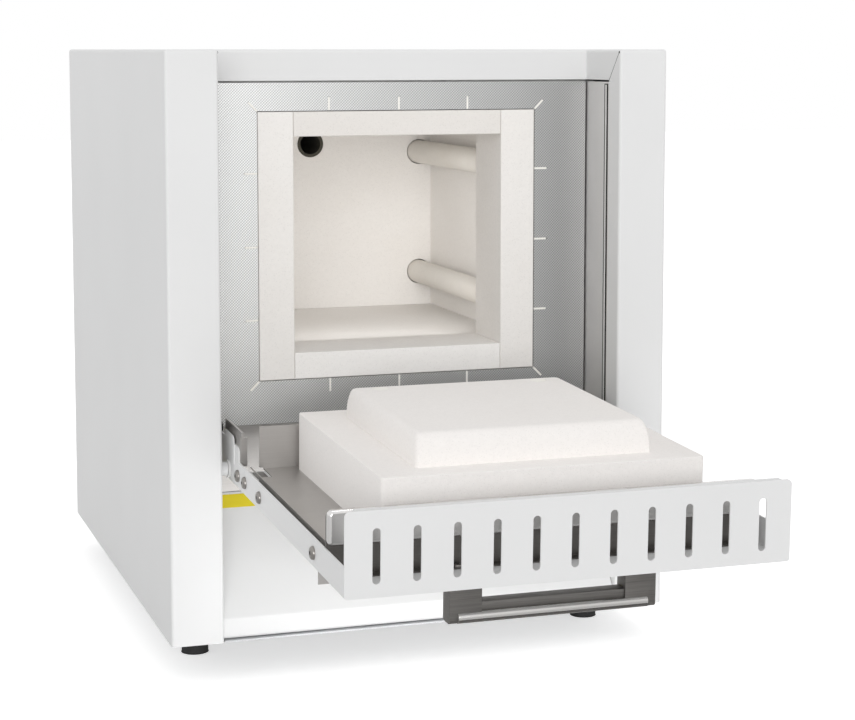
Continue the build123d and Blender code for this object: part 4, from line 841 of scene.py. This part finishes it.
# %% Colour band
band_low, band_high = (Vector(corner) * 1000 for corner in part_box("colour_band"))
BAND_HEIGHT, BAND_SHEET = 15.0, 0.4
slope = atan2(band_high.y - band_low.y, band_high.z - band_low.z)
upward = Vector((0.0, sin(slope), cos(slope)))
outward = Vector((0.0, -cos(slope), sin(slope)))
band = add_box((0.0, 0.0, 0.0), (band_high.x - band_low.x, BAND_SHEET, BAND_HEIGHT))
round_edges(band, lambda e: runs_along(e, 0), 0.12, 1)
band_edge = Vector((0.0, band_high.y, band_high.z - BAND_SHEET * sin(slope)))
band_centre = band_edge - upward * BAND_HEIGHT / 2 + outward * BAND_SHEET / 2
seat = millimetre @ Matrix.Translation(band_centre) @ Matrix.Rotation(-slope, 4, "X")
finish_piece(band, "yellow_band", "housing", seat, "yellow_paint")
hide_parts("colour_band")

# %% [markdown]
# ## Feet
#
# Four rubber feet are turned shapes: a stout cylinder with a soft bottom edge and a slightly wider
# sole that the weight has spread. A ring is inset on the sole and drawn up, as moulded feet are.

# %% Rubber feet
foot_low, foot_high = (Vector(corner) * 1000 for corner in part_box("feet"))
FOOT_RADIUS = 15.0
foot_height = foot_high.z - foot_low.z
foot_model = add_rod((0.0, 0.0, foot_height / 2), FOOT_RADIUS - 1.0, foot_height)
bpy.ops.object.mode_set(mode="EDIT")
select_parts(foot_model, "FACE", lambda f: f.normal.z < -0.9)
bpy.ops.mesh.extrude_region_move(TRANSFORM_OT_translate={"value": (0.0, 0.0, 0.0)})
bpy.ops.transform.resize(value=(FOOT_RADIUS / (FOOT_RADIUS - 1.0),) * 2 + (1.0,), center_override=(0.0, 0.0, 0.0))
bpy.ops.mesh.inset(thickness=5.0)
bpy.ops.transform.translate(value=(0.0, 0.0, 1.5))
bpy.ops.object.mode_set(mode="OBJECT")
round_edges(foot_model, lambda e: max(v.co.z for v in e.verts) < 0.01 and min(v.co.xy.length for v in e.verts) > 14.9, 0.8)
for column, x in enumerate((foot_low.x + FOOT_RADIUS, foot_high.x - FOOT_RADIUS)):
    for row, y in enumerate((foot_low.y + FOOT_RADIUS, foot_high.y - FOOT_RADIUS)):
        seat = millimetre @ Matrix.Translation((x, y, foot_low.z))
        foot = finish_piece(own_copy(foot_model), f"foot_{column + 1}_{row + 1}", "housing", seat, "black_rubber")
        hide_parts("feet")
bpy.data.objects.remove(foot_model)

# %% [markdown]
# ## The studio
#
# The furnace stands on a white floor under an even sky, with one broad soft lamp above the user's
# side. The lamp level is set so that a surface renders about as its colour is written. The floor
# and the sky add just enough for the camera to see white, and the floor keeps the soft shadow.

# %% Floor and sky
start_fresh()
bpy.ops.mesh.primitive_plane_add(size=24.0, location=(0.0, 0.0, -0.0002))
floor = bpy.context.object
floor.name = "studio_floor"
floor_paint = bpy.data.materials.new("studio_white")
floor_paint.use_nodes = True
tree = floor_paint.node_tree
tree.nodes["Principled BSDF"].inputs["Base Color"].default_value = (0.86, 0.86, 0.86, 1.0)
tree.nodes["Principled BSDF"].inputs["Roughness"].default_value = 0.9
tree.nodes["Principled BSDF"].inputs["Specular IOR Level"].default_value = 0.0
ray = tree.nodes.new("ShaderNodeLightPath")
lift = tree.nodes.new("ShaderNodeMath")
lift.operation = "MULTIPLY"
tree.links.new(ray.outputs["Is Camera Ray"], lift.inputs[0])
lift.inputs[1].default_value = 0.56
tree.nodes["Principled BSDF"].inputs["Emission Color"].default_value = (1.0, 1.0, 1.0, 1.0)
tree.links.new(lift.outputs["Value"], tree.nodes["Principled BSDF"].inputs["Emission Strength"])
floor.data.materials.append(floor_paint)

world = bpy.data.worlds.new("studio_sky")
bpy.context.scene.world = world
world.use_nodes = True
tree = world.node_tree
background = tree.nodes["Background"]
ray = tree.nodes.new("ShaderNodeLightPath")
seen = tree.nodes.new("ShaderNodeMath")
seen.operation = "MAXIMUM"
tree.links.new(ray.outputs["Is Camera Ray"], seen.inputs[0])
tree.links.new(ray.outputs["Is Glossy Ray"], seen.inputs[1])
level = tree.nodes.new("ShaderNodeMapRange")
level.inputs["To Min"].default_value = 0.74
level.inputs["To Max"].default_value = 1.0
tree.links.new(seen.outputs["Value"], level.inputs["Value"])
tree.links.new(level.outputs["Result"], background.inputs["Strength"])
background.inputs["Color"].default_value = (1.0, 1.0, 1.0, 1.0)

# %% Lamps
lamp = bpy.data.lights.new("overhead_softbox", "SUN")
lamp.energy = 1.18
lamp.angle = radians(30)
lamp_object = bpy.data.objects.new("overhead_softbox", lamp)
bpy.context.scene.collection.objects.link(lamp_object)
towards_lamp = Vector((-0.30, -1.0, 0.09)).normalized()
lamp_object.rotation_euler = towards_lamp.to_track_quat("Z", "Y").to_euler()

top_lamp = bpy.data.lights.new("ceiling_lamp", "SUN")
top_lamp.energy = 0.14
top_lamp.angle = radians(4)
top_object = bpy.data.objects.new("ceiling_lamp", top_lamp)
bpy.context.scene.collection.objects.link(top_object)
top_object.rotation_euler = Vector((0.12, 0.10, 1.0)).to_track_quat("Z", "Y").to_euler()

window = bpy.data.lights.new("chamber_fill", "AREA")
window.shape = "RECTANGLE"
window.size = 0.21
window.size_y = 0.20
window.energy = 0.13
window_object = bpy.data.objects.new("chamber_fill", window)
bpy.context.scene.collection.objects.link(window_object)
window_object.location = (0.0, 0.05, 0.426)
window_object.rotation_euler = Vector((0.0, 1.0, -0.05)).to_track_quat("-Z", "Y").to_euler()
window_object.visible_camera = False

low_light = bpy.data.lights.new("bench_bounce", "AREA")
low_light.shape = "RECTANGLE"
low_light.size = 0.36
low_light.size_y = 0.07
low_light.energy = 0.52
low_object = bpy.data.objects.new("bench_bounce", low_light)
bpy.context.scene.collection.objects.link(low_object)
low_object.location = (0.0, -0.37, 0.012)
low_object.rotation_euler = Vector((0.0, 1.0, 0.12)).to_track_quat("-Z", "Y").to_euler()
low_object.visible_camera = False

# %% [markdown]
# ## The camera
#
# The photograph was taken from the user's left, slightly above the furnace, with a long lens and a
# little lens shift, which keeps the upright edges nearly parallel.

# %% Camera
camera_data = bpy.data.cameras.new("view_from_left")
camera_data.sensor_width = 36.0
camera_data.lens = 2018.34 / 855 * 36.0
camera_data.shift_y = -0.12
camera_data.clip_end = 60.0
camera = bpy.data.objects.new("view_from_left", camera_data)
bpy.context.scene.collection.objects.link(camera)
yaw = radians(18.3514)
pitch = radians(5.8786)
forward = Vector((sin(yaw) * cos(pitch), cos(yaw) * cos(pitch), -sin(pitch)))
camera.location = (-0.63858, -2.05501, 0.62778)
camera.rotation_euler = forward.to_track_quat("-Z", "Y").to_euler()
bpy.context.scene.camera = camera
bpy.context.scene.view_settings.view_transform = "Standard"
